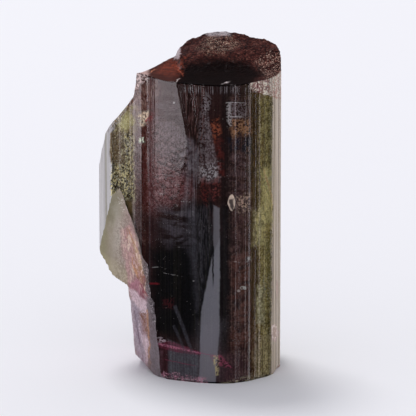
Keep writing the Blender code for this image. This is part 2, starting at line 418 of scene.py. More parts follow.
# Milk and painted light in the skin: both edges, highlights, sparkle, and small clouds behind the front.
milk_and_light_share = None
milk_and_light_colour = (1.0, 1.0, 1.0)
for sheet, corners, soft, share, colour in [
    # both pale edges, painted for the light seen through clear growth; thin painted rib highlights by the
    # gold faces
    (skin_sharp, box(-13.14, -9.38, -1.91, 42.8), 0.05, 0.80 + 0.2 * skin_hair, shade(216, 213, 213)),
    (skin_sharp, box(-10.22, -10.07, -1.91, 42.8), 0.05, 0.7, shade(186, 182, 172)),
    (skin_sharp, box(9.9, 13.26, -1.91, 40.32), 0.05,
     (0.42 + 0.30 * skin_hair.rise(0.42, 0.58)) * skin_y.rise(1.0, -3.0), shade(222, 207, 190)),
    (skin_sharp, box(9.7, 9.85, -1.91, 35.84), 0.05, 0.35 * skin_front, shade(190, 184, 170)),
    (skin_sharp, box(-6.71, -6.56, 17.96, 35.35), 0.05, 0.35 * skin_front, shade(196, 184, 184)),
    (skin_sharp, box(-7.84, -7.62, 23.42, 35.35), 0.06, 0.35 * skin_front, shade(180, 176, 164)),
    (skin_sharp, box(-6.54, -5.76, 17.96, 38.33), 0.06, 0.03 * skin_front, shade(150, 110, 110)),
    # pink growth under the rim, right and left
    (skin_sheet, [(7.14, 40.32), (13.26, 40.81), (13.26, 35.6), (9.9, 35.35), (8.7, 35.97), (7.26, 36.22)],
     0.12, (0.25 + 0.45 * skin_fleck) * skin_front, shade(206, 170, 158)),
    (skin_sheet, [(-7.38, 40.32), (-4.86, 39.32), (-5.1, 37.83), (-6.06, 36.84), (-7.38, 36.34)], 0.25,
     (0.2 + 0.6 * skin_fleck) * skin_front, shade(214, 184, 178)),
    # the cream inclusion and the red beside it
    (skin_sheet, [(-6.18, 33.11), (-5.82, 33.86), (-4.86, 33.98), (-4.86, 32.74), (-5.82, 31.99)], 0.25,
     0.85 * skin_gravel.rise(0.44, 0.54) * skin_front, shade(250, 206, 176)),
    (skin_sheet, [(-5.22, 32.61), (-4.74, 33.36), (-4.14, 33.61), (-4.38, 32.86), (-4.98, 32.24)], 0.2,
     0.5 * skin_fleck * skin_front, shade(170, 66, 66)),
    # gold and olive at the left
    (skin_sheet, [(-8.34, 33.24), (-7.26, 33.73), (-6.66, 32.61), (-7.5, 31.62), (-8.46, 31.99)], 0.6,
     0.35 * skin_front, shade(216, 208, 140)),
    (skin_sheet, LEFT_GOLD, 0.4, 0.45 * skin_light, shade(222, 208, 150)),
    (skin_sheet, LEFT_GOLD, 0.4, 0.45 * skin_dark, shade(42, 32, 14)),
    (skin_sheet, [(-9.3, 31.12), (-8.1, 31.12), (-8.1, 27.65), (-9.3, 27.9)], 0.6, 0.5 * skin_front,
     shade(112, 92, 64)),
    (skin_sheet, [(-6.66, 30.38), (-5.7, 30.38), (-5.7, 18.46), (-6.66, 19.2)], 0.2, 0.4 * skin_dark,
     shade(60, 34, 32)),
    # light and dark grains under the rim, then down the gold at the right
    (skin_sheet, [(7.26, 38.33), (10.98, 39.07), (10.98, 35.84), (8.7, 35.97), (7.26, 36.59)], 0.3,
     0.45 * skin_light, shade(244, 224, 206)),
    (skin_sheet, [(7.26, 38.33), (9.66, 38.82), (9.66, 35.84), (8.7, 35.97), (7.26, 36.59)], 0.3,
     0.4 * skin_dark, shade(150, 84, 84)),
    (skin_sheet, [(-7.14, 39.07), (-4.86, 38.82), (-3.78, 37.33), (-4.26, 35.6), (-6.9, 35.84)], 0.5,
     0.3 * skin_dark, shade(84, 40, 36)),
    (skin_sheet, [(-7.14, 39.57), (-4.86, 39.32), (-5.22, 37.33), (-7.14, 36.59)], 0.3, 0.5 * skin_light,
     shade(232, 206, 200)),
    (skin_sheet, box(8.1, 9.78, -0.42, 35.6), 0.4, 0.14 * skin_light, shade(214, 196, 116)),
    (skin_sheet, box(7.26, 9.78, -0.42, 35.6), 0.4, 0.3 * skin_dark, shade(36, 26, 12)),
    # the frayed foot with light specks, partly painted highlights; the chips of the right edge and the
    # shoulder
    (skin_sheet, [(-4.74, 1.69), (-1.62, 1.32), (2.22, 0.7), (2.22, -0.92), (-4.74, -0.92)], 0.12,
     0.38 * skin_light, shade(220, 160, 180)),
    (skin_sheet, [(2.22, 0.82), (7.26, 0.94), (11.1, 2.06), (11.1, -0.92), (2.22, -0.92)], 0.2,
     0.35 * skin_light, shade(214, 200, 164)),
    (skin_sheet, [(9.9, 7.03), (10.38, 7.28), (10.74, 6.28), (10.5, 5.04), (10.02, 5.42)], 0.12,
     0.9 * skin_fleck, shade(236, 204, 200)),
    (skin_sheet, [(-10.26, 32.99), (-8.58, 33.86), (-8.34, 32.86), (-9.3, 31.62), (-10.26, 31.5)], 0.3,
     0.6 * skin_fleck * skin_front, shade(186, 180, 182)),
    # painted sparkle: glints of light in the gold, left and right
    (skin_sheet, [(-9.36, 30.88), (-6.66, 30.63), (-6.66, 23.42), (-9.36, 23.67)], 0.4,
     0.6 * skin_glints * skin_front, shade(232, 226, 184)),
    (skin_sheet, box(8.7, 9.9, 10.51, 13.98), 0.3, 0.55 * skin_glints * skin_front, shade(208, 226, 200)),
    (skin_sheet, [(8.76, 27.15), (9.78, 27.15), (9.78, 20.19), (8.76, 20.44)], 0.3,
     0.30 * skin_fleck * skin_front, shade(230, 208, 140)),
    (skin_sheet, [(7.86, 21.69), (8.7, 21.93), (8.7, 17.21), (7.86, 17.21)], 0.3,
     0.35 * skin_fleck * skin_front, shade(220, 204, 140)),
    (skin_sheet, [(7.98, 12.25), (8.7, 12.25), (8.7, 7.28), (7.98, 7.77)], 0.3,
     0.35 * skin_fleck * skin_front, shade(190, 180, 120)),
    (skin_sharp, [(-6.06, 30.63), (-5.46, 30.75), (-5.34, 30.13), (-6.06, 30.01)], 0.1,
     0.9 * skin_fleck * skin_front, shade(226, 232, 206)),
]:
    share = skin.inside(sheet, corners, soft) * share
    milk_and_light_colour = skin.mix(share.rise(0.0, 0.15), milk_and_light_colour, colour)
    milk_and_light_share = share if milk_and_light_share is None else milk_and_light_share.most(share)
# The face left of the middle is etched, the others hardly.
etched_face = [(-4.74, 34.85), (-2.58, 35.84), (-0.66, 30.13), (0.3, 26.65), (0.3, 17.96), (-4.74, 17.96)]
etched = 0.08 + skin.inside(skin_sheet, etched_face, 0.7)
skin_normal = skin.bump(striae, 0.012, 0.4, under=skin.bump(etching * etched, 0.07, 0.5))
skin_clear = skin.node("ShaderNodeBsdfPrincipled", {}, {
    "Base Color": (1.0, 1.0, 1.0),
    "Roughness": 0.03,
    "IOR": 1.63,
    "Transmission Weight": 1.0,
    "Normal": skin_normal,
})
milk_and_light_colour = skin.mix(skin_hair.rise(0.56, 0.44) * 0.7, milk_and_light_colour, (0.62, 0.60, 0.60), "MULTIPLY")
skin_milk_and_light = skin.node("ShaderNodeBsdfPrincipled", {}, {
    "Base Color": milk_and_light_colour,
    "Roughness": 0.25,
    "IOR": 1.5,
    "Normal": skin_normal,
})
skin_shader = skin.node("ShaderNodeMixShader", {}, {0: milk_and_light_share, 1: skin_clear, 2: skin_milk_and_light})
skin_tint = skin.node("ShaderNodeVolumeAbsorption", {}, {"Color": (0.80, 0.76, 0.60), "Density": 90.0})
clear_tourmaline = skin.finished(skin_shader, skin_tint)

# The broken top.
# The crystal snapped across: level and smooth in front, granular and rising at the back, with a lower shelf
# on the left. It is dark red-brown tourmaline, dull and opaque. A wavy sheet cuts it out of the prism.

FRONT_HEIGHT = 37.1
RISE_FROM_FRONT = ((0, 4, 7, 9.6, 11, 13, 16.5, 18), (0, 0.05, 0.15, 0.8, 1.3, 1.48, 1.95, 2.15))


def smooth(value, low, high):
    """0 below low, 1 above high, and share squared times (3 - 2 share) between."""
    share = np.clip((value - low) / (high - low), 0, 1)
    return share * share * (3 - 2 * share)


def break_cutter(name, centre, facing, size, reach, cell, relief, slot_index, finishes):
    """A closed block whose inner side is a broken surface: a grid over size, square to facing, lifted along
    facing by relief(points, facing). Its outer side is flat and lies reach beyond."""
    up = np.array(facing, float) / np.linalg.norm(facing)
    across = np.cross((0, 0, 1), up)
    across = across / np.linalg.norm(across) if np.linalg.norm(across) > 0.01 else np.array([1.0, 0, 0])
    along = np.cross(up, across)
    columns, rows = (max(3, round(s / cell)) for s in size)
    u, v = np.meshgrid(np.linspace(-0.5, 0.5, columns) * size[0], np.linspace(-0.5, 0.5, rows) * size[1])
    flat = np.array(centre, float) + u[..., None] * across + v[..., None] * along
    broken = flat + relief(flat, up)[..., None] * up
    grid = np.arange(rows * columns).reshape(rows, columns)
    quads = np.stack([grid[:-1, :-1], grid[1:, :-1], grid[1:, 1:], grid[:-1, 1:]], axis=-1).reshape(-1, 4)
    rim = np.concatenate([grid[0, :-1], grid[:-1, -1], grid[-1, :0:-1], grid[:0:-1, 0]])
    outer = flat.reshape(-1, 3)[rim] + reach * up
    far = rows * columns + np.arange(len(rim))
    walls = np.stack([rim, np.roll(rim, -1), np.roll(far, -1), far], axis=-1)
    points = np.concatenate([broken.reshape(-1, 3), outer])
    return made(name, points, quads.tolist() + walls.tolist() + [far.tolist()], finishes, slot_index)


def plane(points, through, facing, up):
    """How far above each point, along up, the plane lies that goes through one point and faces one way."""
    facing = np.array(facing, float)
    return (np.array(through) - points) @ facing / (up @ facing)


def top_relief(points, up):
    """The height over the front rim: interpolated from front to back, less a fall to the left at the back,
    plus lumps that grow to the back; left of the step line, a nearly level shelf."""
    x, y = points[..., 0], points[..., 1] + PLAN_CENTRE[1]
    rough = smooth(y, 4.0, 9.0)
    terrace = np.interp(y, *RISE_FROM_FRONT) + 0.3 * smooth(y, 8, 12)
    terrace = terrace + 0.35 * smooth(x, 7, 10) * smooth(y, 7, 11)
    terrace = terrace - 0.28 * np.maximum(2.3 - x, 0) * smooth(y, 8, 14)
    flat = np.stack([x, y, 0 * x], axis=-1)
    terrace = terrace + (0.03 + 0.10 * rough) * lumps(flat, 2.4, 1) + 0.07 * rough * lumps(flat, 0.9, 2)
    terrace = terrace + (0.015 + 0.075 * rough) * lumps(flat, 0.42, 3) + 0.04 * rough * lumps(flat, 0.2, 4)
    shelf = 0.015 * y + 0.5 * smooth(-x, 2, 7) * smooth(7 - y, 0, 4) + 0.05 * lumps(flat, 3.0, 5)
    shelf = shelf + 0.03 * lumps(flat, 0.7, 6)
    line = -0.8 - 0.06 * y + 0.15 * np.sin(y * 0.9) + 0.12 * lumps(flat, 0.8, 7)
    right = smooth(x, line - 0.18, line + 0.18)
    return shelf + (terrace - shelf) * right


SMOOTH_FRONT = [
    (-1.62, 39.57), (3.06, 40.69), (7.26, 40.07), (8.94, 38.58),
    (7.26, 36.84), (1.86, 36.34), (-1.62, 36.59),
]
top = Finish("broken_top")
top_sheet = top.sheet((1.2, 0.7), (0.3, 0.25))
top_grain = top.grains((0.14, 0.14, 0.14), 2) * 0.6 + top.noise((1.0, 1.0, 1.0), 2, detail=4.0) * 0.8 - 0.2
top_grit = top.cells((0.16, 0.16, 0.16), 3)
gritty = top_grit.rise(0.42, 0.25) * top_grain.rise(0.36, 0.6)
top_colour = top.ramp(top_grain, [
    (0.20, shade(24, 8, 8)),
    (0.48, shade(54, 20, 17)),
    (0.70, shade(80, 34, 28)),
    (0.90, shade(122, 78, 66)),
])
top_colour = top.paint(top_colour, top.inside, top_sheet, [
    # the smooth black front, the orange shelf on the left and its brighter strip
    (SMOOTH_FRONT, 0.8, 0.95, shade(11, 5, 5)),
    ([(-5.94, 38.33), (-2.34, 40.56), (-0.9, 41.06), (-1.14, 37.83), (-2.94, 37.33)], 0.35, 0.75,
     shade(74, 32, 24)),
    ([(-4.02, 38.82), (-3.06, 40.32), (-0.42, 40.81), (-0.9, 38.82), (-2.34, 38.33)], 0.5,
     0.55 * top_grain.rise(0.4, 0.6), shade(150, 62, 34)),
    # tan grains behind the middle, cream grains at the right edge
    ([(0.78, 41.93), (1.98, 43.54), (5.1, 43.54), (6.06, 42.55), (4.38, 41.31), (1.98, 41.18)], 0.45,
     0.85 * gritty, shade(196, 172, 150)),
    ([(1.86, 42.55), (2.94, 43.54), (4.62, 43.42), (5.1, 42.05), (2.94, 41.68)], 0.5, 0.4 * gritty,
     shade(214, 196, 176)),
    ([(7.98, 40.32), (9.66, 41.81), (11.34, 41.31), (11.34, 38.08), (9.18, 37.83)], 0.35, 0.8 * gritty,
     shade(214, 186, 168)),
    # the clear rim, painted pale for the light seen through it: at the peak, at the riser of the step and at
    # the left corner
    ([(1.74, 45.03), (5.34, 45.03), (4.86, 43.69), (2.22, 43.69)], 0.25,
     0.3 + 0.4 * top_grain.rise(0.3, 0.6), shade(184, 176, 180)),
    ([(-1.86, 40.56), (-1.74, 42.05), (-1.19, 42.43), (-1.07, 41.56), (-1.31, 40.56)], 0.12, 0.65,
     shade(190, 176, 180)),
    ([(-7.14, 37.33), (-6.66, 39.57), (-5.1, 39.57), (-4.86, 38.58), (-5.22, 37.33)], 0.3, 0.75,
     shade(196, 164, 158)),
])
top_colour = top.paint(top_colour, top.line, top_sheet, [
    ((-0.9, 41.06), (-1.62, 39.57), 0.14, 1.0, shade(26, 12, 11)),
    ((-1.62, 39.82), (-0.66, 38.08), 0.14, 1.0, shade(140, 66, 44)),
    # pale lines along the front rim: painted highlights of its edge
    ((-1.62, 37.46), (-1.02, 38.08), 0.08, 1.0, shade(190, 180, 178)),
    ((3.78, 37.21), (4.98, 37.58), 0.07, 1.0, shade(180, 170, 170)),
    ((4.38, 36.84), (5.22, 37.21), 0.06, 1.0, shade(190, 180, 178)),
    ((-4.74, 38.82), (-3.78, 39.32), 0.06, 1.0, shade(190, 120, 90)),
])
top_smooth = top.inside(top_sheet, SMOOTH_FRONT, 0.8)
top_shader = top.node("ShaderNodeBsdfPrincipled", {}, {
    "Base Color": top_colour,
    "Roughness": 0.65 - top_smooth * 0.3,
    "IOR": 1.4,
    "Normal": top.bump(top_grain + gritty * 0.3, 0.05, 0.4),
})
broken_top = top.finished(top_shader)

# The scar down the left edge and the break over the left shoulder.
# Both are breaks of the same crystal. The shoulder broke as clean as glass. The scar is waxy tourmaline: a
# smooth plate with a ragged foot, and a stained granular strip under it. The chips have the scar's surface.

BEVEL_STRIP = [
    (-7.74, 24.42), (-7.02, 24.42), (-5.22, 17.09), (-3.78, 10.51),
    (-3.06, 0.07), (-4.26, 0.07), (-5.34, 12.37),
]
scar = Finish("waxy_scar")
scar_x = scar.place()[0]
scar_sheet = scar.sheet((1.6, 0.9), (0.4, 0.35))
scar_clean = scar.sheet((0.5, 0.15))
scar_grain = scar.noise((0.5, 0.5, 1.6), 3, detail=5.0, roughness=0.6)
scar_grit_and_glints = scar.cells((0.2, 0.2, 0.2), 4).rise(0.4, 0.22) * scar_grain.rise(0.4, 0.55)
scar_stain = scar.noise((0.9, 0.9, 1.4), 6, detail=6.0, roughness=0.75)
scar_fine = scar.gravel((0.16, 0.16, 0.20), (0.6, 0.6, 0.9), 16).rise(0.42, 0.60)
scar_colour = scar.zones(scar_x + (scar_grain - 0.5) * 1.2, [
    (-11.1, shade(150, 142, 116)),
    (-10.02, shade(150, 138, 118)),
    (-9.3, shade(162, 150, 134)),
    (-8.1, shade(170, 154, 142)),
    (-6.9, shade(176, 150, 144)),
    (-4.74, shade(160, 146, 156)),
    (1.26, shade(150, 130, 130)),
    (7.86, shade(150, 136, 112)),
    (11.34, shade(186, 160, 150)),
])
scar_colour = scar.paint(scar_colour, scar.inside, scar_sheet, [
    # the plate: green at its top and left, yellow at its ragged foot
    ([(-10.26, 24.17), (-8.1, 24.17), (-8.34, 21.19), (-9.54, 19.7), (-10.74, 20.94)], 0.8, 0.65,
     shade(122, 118, 90)),
    ([(-11.22, 14.23), (-10.98, 21.06), (-10.14, 21.06), (-10.02, 14.23)], 0.5, 0.5, shade(142, 136, 102)),
    ([(-10.98, 16.47), (-9.3, 15.23), (-7.14, 13.98), (-7.14, 11.5), (-9.54, 12.37)], 0.7, 0.5,
     shade(180, 168, 134)),
    ([(-8.82, 23.18), (-7.62, 23.18), (-7.38, 21.44), (-8.46, 21.19)], 0.25, 0.9 * scar_grit_and_glints,
     shade(226, 224, 214)),
    ([(-9.78, 19.7), (-8.58, 20.19), (-8.1, 12.99), (-9.3, 14.23)], 0.8, 0.4 * scar_stain.rise(0.42, 0.6),
     shade(186, 176, 164)),
    # pink and cream with orange stains between the plate and the bevel
    ([(-8.58, 19.2), (-7.14, 19.95), (-5.1, 14.48), (-4.74, 10.51), (-7.38, 12), (-8.22, 16.72)], 0.25,
     0.85, shade(190, 150, 148)),
    ([(-8.22, 18.95), (-7.14, 19.7), (-5.7, 15.23), (-5.46, 12.49), (-7.14, 13.74), (-7.62, 16.72)], 0.4,
     0.55 * scar_stain.rise(0.50, 0.60), shade(166, 112, 80)),
    ([(-8.22, 19.45), (-6.9, 19.7), (-5.1, 14.48), (-4.74, 10.51), (-7.14, 12)], 0.3,
     0.85 * scar_grain.rise(0.50, 0.60), shade(226, 202, 186)),
    ([(-7.14, 18.7), (-6.18, 17.21), (-5.1, 13.49), (-4.86, 10.76), (-5.94, 12.99), (-6.78, 15.97)], 0.3,
     0.8 * scar_fine, shade(232, 206, 166)),
    ([(-6.66, 13.49), (-4.86, 13.98), (-4.74, 9.02), (-5.7, 10.01), (-6.66, 11.5)], 0.35,
     0.8 * scar_stain.rise(0.56, 0.44), shade(118, 48, 58)),
    ([(-7.5, 12.49), (-6.18, 12.99), (-5.46, 10.51), (-7.02, 10.51)], 0.35,
     0.7 * scar_stain.rise(0.36, 0.5), shade(176, 112, 132)),
    ([(-7.38, 11.75), (-6.66, 11.5), (-4.86, 9.76), (-4.86, 8.27), (-5.7, 8.52), (-7.02, 10.13)], 0.2, 0.8,
     shade(220, 196, 204)),
    # grey-lilac strip below, with a brown-red streak on its right
    ([(-7.62, 10.76), (-6.78, 10.01), (-4.86, 8.02), (-4.26, 0.32), (-6.42, 2.81), (-7.38, 6.78)], 0.25,
     0.85, shade(182, 166, 178)),
    ([(-6.06, 9.02), (-4.74, 8.52), (-4.62, 5.54), (-5.7, 6.28)], 0.3, 0.85 * scar_fine,
     shade(150, 108, 86)),
    ([(-6.18, 8.77), (-4.86, 8.27), (-4.5, 0.82), (-5.22, 1.81), (-5.82, 4.92)], 0.3,
     0.55 * scar_stain.rise(0.38, 0.52), shade(142, 94, 96)),
    ([(-7.5, 7.77), (-4.74, 5.04), (-4.5, 3.55), (-7.38, 6.28)], 0.25, 0.45, shade(204, 176, 190)),
    ([(-6.66, 4.3), (-4.5, 2.31), (-4.26, 0.32), (-6.42, 2.31)], 0.3, 0.4 * scar_grain.rise(0.4, 0.55),
     shade(128, 74, 92)),
    ([(-5.94, 5.79), (-4.86, 5.29), (-4.5, 1.07), (-5.34, 2.56)], 0.3, 0.75 * scar_grain.rise(0.38, 0.54),
     shade(226, 202, 208)),
    ([(-6.9, 9.76), (-6.18, 9.27), (-5.82, 4.05), (-6.66, 5.29)], 0.3, 0.65, shade(146, 132, 146)),
    ([(-5.94, 8.77), (-4.86, 8.27), (-4.74, 5.42), (-5.7, 6.04)], 0.25, 0.35 + 0.5 * scar_fine,
     shade(150, 104, 82)),
    ([(-7.02, 17.21), (-6.06, 15.23), (-5.22, 12.74), (-5.94, 12.49), (-6.66, 14.48)], 0.2, 0.7 * scar_fine,
     shade(172, 112, 74)),
    ([(-9.3, 22.18), (-8.58, 22.43), (-8.22, 17.96), (-8.94, 16.72)], 0.6, 0.4, shade(190, 182, 170)),
    # the grey bevel beside the dark prism faces
    ([(-7.74, 24.42), (-7.26, 24.42), (-5.46, 17.09), (-6.18, 17.09)], 0.12, 0.75, shade(104, 96, 86)),
    ([(-6.24, 17.09), (-5.46, 17.09), (-4.26, 12.37), (-5.34, 12.37)], 0.12, 0.8, shade(104, 95, 96)),
    ([(-5.34, 12.37), (-4.26, 12.37), (-3.54, 0.07), (-4.86, 0.07)], 0.12, 0.85, shade(116, 105, 110)),
    (BEVEL_STRIP, 0.2, 0.75 * scar_fine, shade(46, 38, 42)),
    # painted glints on the bevel
    (BEVEL_STRIP, 0.3, 0.9 * scar_grit_and_glints, shade(226, 220, 222)),
    # the chips of the front and of the right edge
    (box(3.9, 6.54, 20.19, 24.42), 0.1, 0.45 + 0.5 * scar_fine, shade(206, 184, 166)),
    ([(4.92, 23.05), (5.34, 23.18), (5.52, 22.31), (5.22, 21.31), (4.92, 21.93)], 0.12, 0.9,
     shade(40, 26, 28)),
    (box(9.18, 11.58, 4.3, 7.77), 0.3, 0.95 * scar_fine, shade(246, 216, 208)),
])
scar_colour = scar.paint(scar_colour, scar.line, scar_sheet, [
    ((-7.5, 19.45), (-5.94, 15.48), 0.12, 0.8, shade(186, 128, 92)),
    ((-7.02, 15.72), (-6.06, 12.74), 0.14, 0.8, shade(206, 150, 110)),
    ((-5.22, 9.02), (-4.74, 1.07), 0.22, 0.8, shade(182, 134, 104)),
    ((-6.06, 12.49), (-4.98, 10.51), 0.18, 0.8, shade(150, 60, 76)),
    ((-6.78, 9.02), (-5.94, 3.3), 0.12, 0.8, shade(120, 92, 108)),
    ((-6.3, 7.77), (-5.22, 2.31), 0.10, 0.8, shade(208, 188, 198)),
    ((-8.34, 20.19), (-7.86, 15.23), 0.10, 0.8, shade(206, 186, 170)),
])
# The plate at the top is smooth, and all below it is granular.
GRANULAR = [(-8.82, 19.95), (-6.66, 22.93), (-2.34, 10.51), (-2.34, -1.91), (-8.34, -1.91), (-9.3, 10.51)]
scar_rough = 0.25 + 0.75 * scar.inside(scar_clean, GRANULAR, 0.4)
scar_shader = scar.node("ShaderNodeBsdfPrincipled", {}, {
    "Base Color": scar.mix(scar_fine * 0.5 * scar_rough, scar_colour, (0.50, 0.44, 0.42), "MULTIPLY"),
    "Roughness": 0.32 + scar_grain * 0.2,
    "IOR": 1.5,
    "Normal": scar.bump(scar_grain + scar_stain + scar_fine * scar_rough * 0.6, 0.12, 0.5),
})
waxy_scar = scar.finished(scar_shader)
# The three surfaces of the skin, and their slots in its mesh.
skin_finishes = [clear_tourmaline, broken_top, waxy_scar]
CLEAR, BROKEN, WAXY = range(3)


def shoulder_relief(points, up):
    """The highest of a steep wall and the lower of a slope and a steep foot, plus fine ripples."""
    wall = plane(points, (-6.5, -4.2, 36.0), (-0.893, 0.42, 0.16), up)
    slope = plane(points, (-8.6, -2.8, 31.9), (-0.66, 0.36, 0.66), up)
    foot = plane(points, (-10.5, -0.7, 28.2), (-0.9, 0.3, 0.25), up)
    ripples = 0.12 * lumps(points, 2.2, 8) + 0.05 * lumps(points, 0.8, 9) + 0.02 * lumps(points, 0.35, 10)
    return np.maximum(wall, np.minimum(slope, foot)) + ripples


def scar_relief(points, up):
    """The highest of a ledge and a body, plus ripples. The ledge is the lowest of its plate, end and foot
    planes; the body is the lowest of the side, the bevel and the higher of two strips."""
    plate = plane(points, (-8.5, -2.75, 22.9), (-0.549, -0.824, -0.140), up)
    plate_end = plane(points, (-10.9, 0.3, 13.7), (-0.83, 0.15, -0.56), up)
    plate_foot = plane(points, (-8.6, -0.8, 10.6), (-0.40, 0.10, -0.91), up)
    strip = plane(points, (-5.0, -5.4, 14.1), (-0.80, -0.585, -0.134), up)
    strip_low = plane(points, (-4.15, -5.95, 5.0), (-0.85, -0.52, -0.05), up)
    side = plane(points, (-7.05, -1.0, 6.0), (-0.98, 0.17, -0.10), up)
    bevel = plane(points, (-5.75, -3.0, 0.9), (-0.66, -0.10, -0.74), up)
    ripples = 0.10 * lumps(points, 2.4, 11) + 0.05 * lumps(points, 0.9, 12) + 0.02 * lumps(points, 0.35, 13)
    ledge = np.minimum(np.minimum(plate, plate_end + 0.15 * lumps(points, 0.5, 14)), plate_foot)
    body = np.minimum(np.minimum(np.maximum(strip, strip_low), side), bevel)
    return np.maximum(ledge, body) + ripples


# How far a chip's cutter reaches outwards, and the size of its grid's cells.
CHIP_REACH = 3.0
CHIP_CELL = 0.12


def chip_cutter(name, centre, facing, size, depth, finishes):
    """An oval chip: depth times (beside squared + above squared - 0.6), plus fine lumps."""

    def relief(points, up):
        offset = points - np.array(centre)
        beside = np.hypot(offset[..., 0], offset[..., 1]) / (size[0] / 2)
        above = offset[..., 2] / (size[1] / 2)
        return depth * (beside**2 + above**2 - 0.6) + 0.3 * depth * lumps(points, 0.5, 15)

    return break_cutter(name, centre, facing, size, CHIP_REACH, CHIP_CELL, relief, WAXY, finishes)


# Each chip's name, centre, the way it faces, its width and height, and its depth.
CHIPS = [
    ("cut_front_nick", (5.15, -8.80, 22.4), (0.06, -1.0, 0.08), (1.5, 2.8), 0.30),
    ("cut_right_edge", (10.86, -3.4, 9.0), (1.0, -0.35, 0.05), (3.2, 6.5), 0.16),
    ("cut_right_nick", (10.45, -4.35, 5.0), (0.75, -0.65, 0.1), (1.8, 2.4), 0.22),
    ("cut_base_right", (10.75, -3.0, 0.1), (0.80, -0.25, -0.55), (5.5, 3.2), 0.30),
    ("cut_base_back", (5.5, 7.75, 0.3), (0.25, 0.75, -0.6), (7.5, 3.6), 0.35),
    ("cut_base_front", (-3.9, -6.2, 0.1), (-0.45, -0.55, -0.70), (3.4, 2.4), 0.25),
]
skin_levels = np.linspace(0.0, CRYSTAL_TOP, 34)
crystal_skin = made("crystal_skin", *closed_tube(ribbed_outline(skin_levels), skin_levels), skin_finishes)
# Each break's centre, the way it faces, its width and height, and how far its cutter reaches outwards.
TOP_BREAK = ((0, 0, FRONT_HEIGHT), (0, 0, 1), (26, 22), 8.0)
SHOULDER_BREAK = ((-8.5, -1.0, 32.5), (-0.80, 0.38, 0.46), (26, 26), 14.0)
SCAR_BREAK = ((-8.0, -3.0, 11.5), (-0.88, -0.30, -0.37), (20, 32), 12.0)
skin_cutters = [
    break_cutter("cut_top", *TOP_BREAK, 0.2, top_relief, BROKEN, skin_finishes),
    break_cutter("cut_shoulder", *SHOULDER_BREAK, 0.3, shoulder_relief, CLEAR, skin_finishes),
    break_cutter("cut_scar", *SCAR_BREAK, 0.25, scar_relief, WAXY, skin_finishes),
] + [chip_cutter(*chip, skin_finishes) for chip in CHIPS]


def cut_out(piece, cutters):
    """Takes the cutters out of the piece and leaves the result in the piece's own mesh."""
    for cutter in cutters:
        cut = piece.modifiers.new(cutter.name, "BOOLEAN")
        cut.operation = "DIFFERENCE"
        cut.solver = "EXACT"
        cut.object = cutter
    bpy.context.view_layer.update()
    cut_mesh = bpy.data.meshes.new_from_object(piece.evaluated_get(bpy.context.evaluated_depsgraph_get()))
    piece.modifiers.clear()
    piece.data = cut_mesh
    for cutter in cutters:
        bpy.data.objects.remove(cutter)


cut_out(crystal_skin, skin_cutters)
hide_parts("elbaite_crystal")
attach(crystal_skin, "root")

# Painted reflections, glints and the light seen through the clear edges are laid on its colour too.
# The colour under the skin.
# The heart is dark red-brown to black tourmaline with olive at both sides, and the clear skin grew over it.
# It is one closed mesh just under the skin, and dull, because nothing parts the two.

# How deep the heart lies under each corner of the plan: places from left to right, and depths there.
DEPTH_ACROSS = ((-11.0, -9.4, -6.4, -4.0, 6.0, 9.4, 11.0), (1.5, 0.9, 0.5, 0.32, 0.35, 0.55, 0.8))
HEART_DEPTH = np.interp(PLAN[:, 0], *DEPTH_ACROSS)
# The height of its lower end, and the size of the cells of its cutters' grids.
HEART_BASE = 0.12
HEART_GRID = 0.4
# The light on the heart, the share that the skin lets through and the share that it throws back in, and the
# palest colour allowed under it.
HEART_LIGHT = 0.66
SKIN_PASSES = 0.306
SKIN_RETURNS = 0.66
DEEP_WHITE = 0.95


def deep(*screen):
    """The colour under the skin that looks like this screen colour. A colour c there is seen as HEART_LIGHT
    times SKIN_PASSES * c / (1 - SKIN_RETURNS * c), because the skin throws light back; this gives c."""
    lights = [linear(value) / HEART_LIGHT for value in screen]
    return tuple(min(light / (SKIN_PASSES + SKIN_RETURNS * light), DEEP_WHITE) for light in lights)


LEFT_SPARKLE = [(-9.42, 31.87), (-6.66, 31.12), (-6.66, 22.93), (-9.42, 23.42)]
HAIR_SHEET = [(-1.14, 37.33), (1.98, 37.33), (1.74, 25.91), (0.54, 25.91), (-0.18, 31.62)]
GREY_FACET = [(-4.62, 31.37), (-3.54, 32.61), (-2.1, 31.62), (0.06, 27.9), (0.06, 23.92), (-4.62, 21.69)]
heart = Finish("dark_heart")
heart_x, heart_y, _ = heart.place()
heart_front = heart_y.rise(1.5, -0.5)
heart_streak = heart.noise((0.45, 0.45, 16.0), 4, detail=4.0)
heart_hair = heart.noise((0.10, 0.10, 12.0), 7, detail=3.0, roughness=0.6)
rib_light_noise = heart.noise((0.30, 0.30, 45.0), 12, detail=2.0)
heart_mottle = heart.noise((0.50, 0.50, 0.6), 8, detail=5.0, roughness=0.65)
heart_fine = heart.gravel((0.15, 0.15, 0.17), (0.7, 0.7, 0.8), 11)
heart_veil = heart.noise((1.8, 1.8, 0.7), 9, detail=5.0, roughness=0.6)
heart_wave = heart.noise((0.16, 0.16, 1.6), 10, detail=3.0, distortion=0.8)
heart_glints = heart.cells((0.17, 0.17, 0.17), 5).rise(0.40, 0.25)
mottled = heart_mottle.rise(0.40, 0.58)
flecked = heart_fine.rise(0.44, 0.56)
veiled = heart_veil.rise(0.42, 0.58)
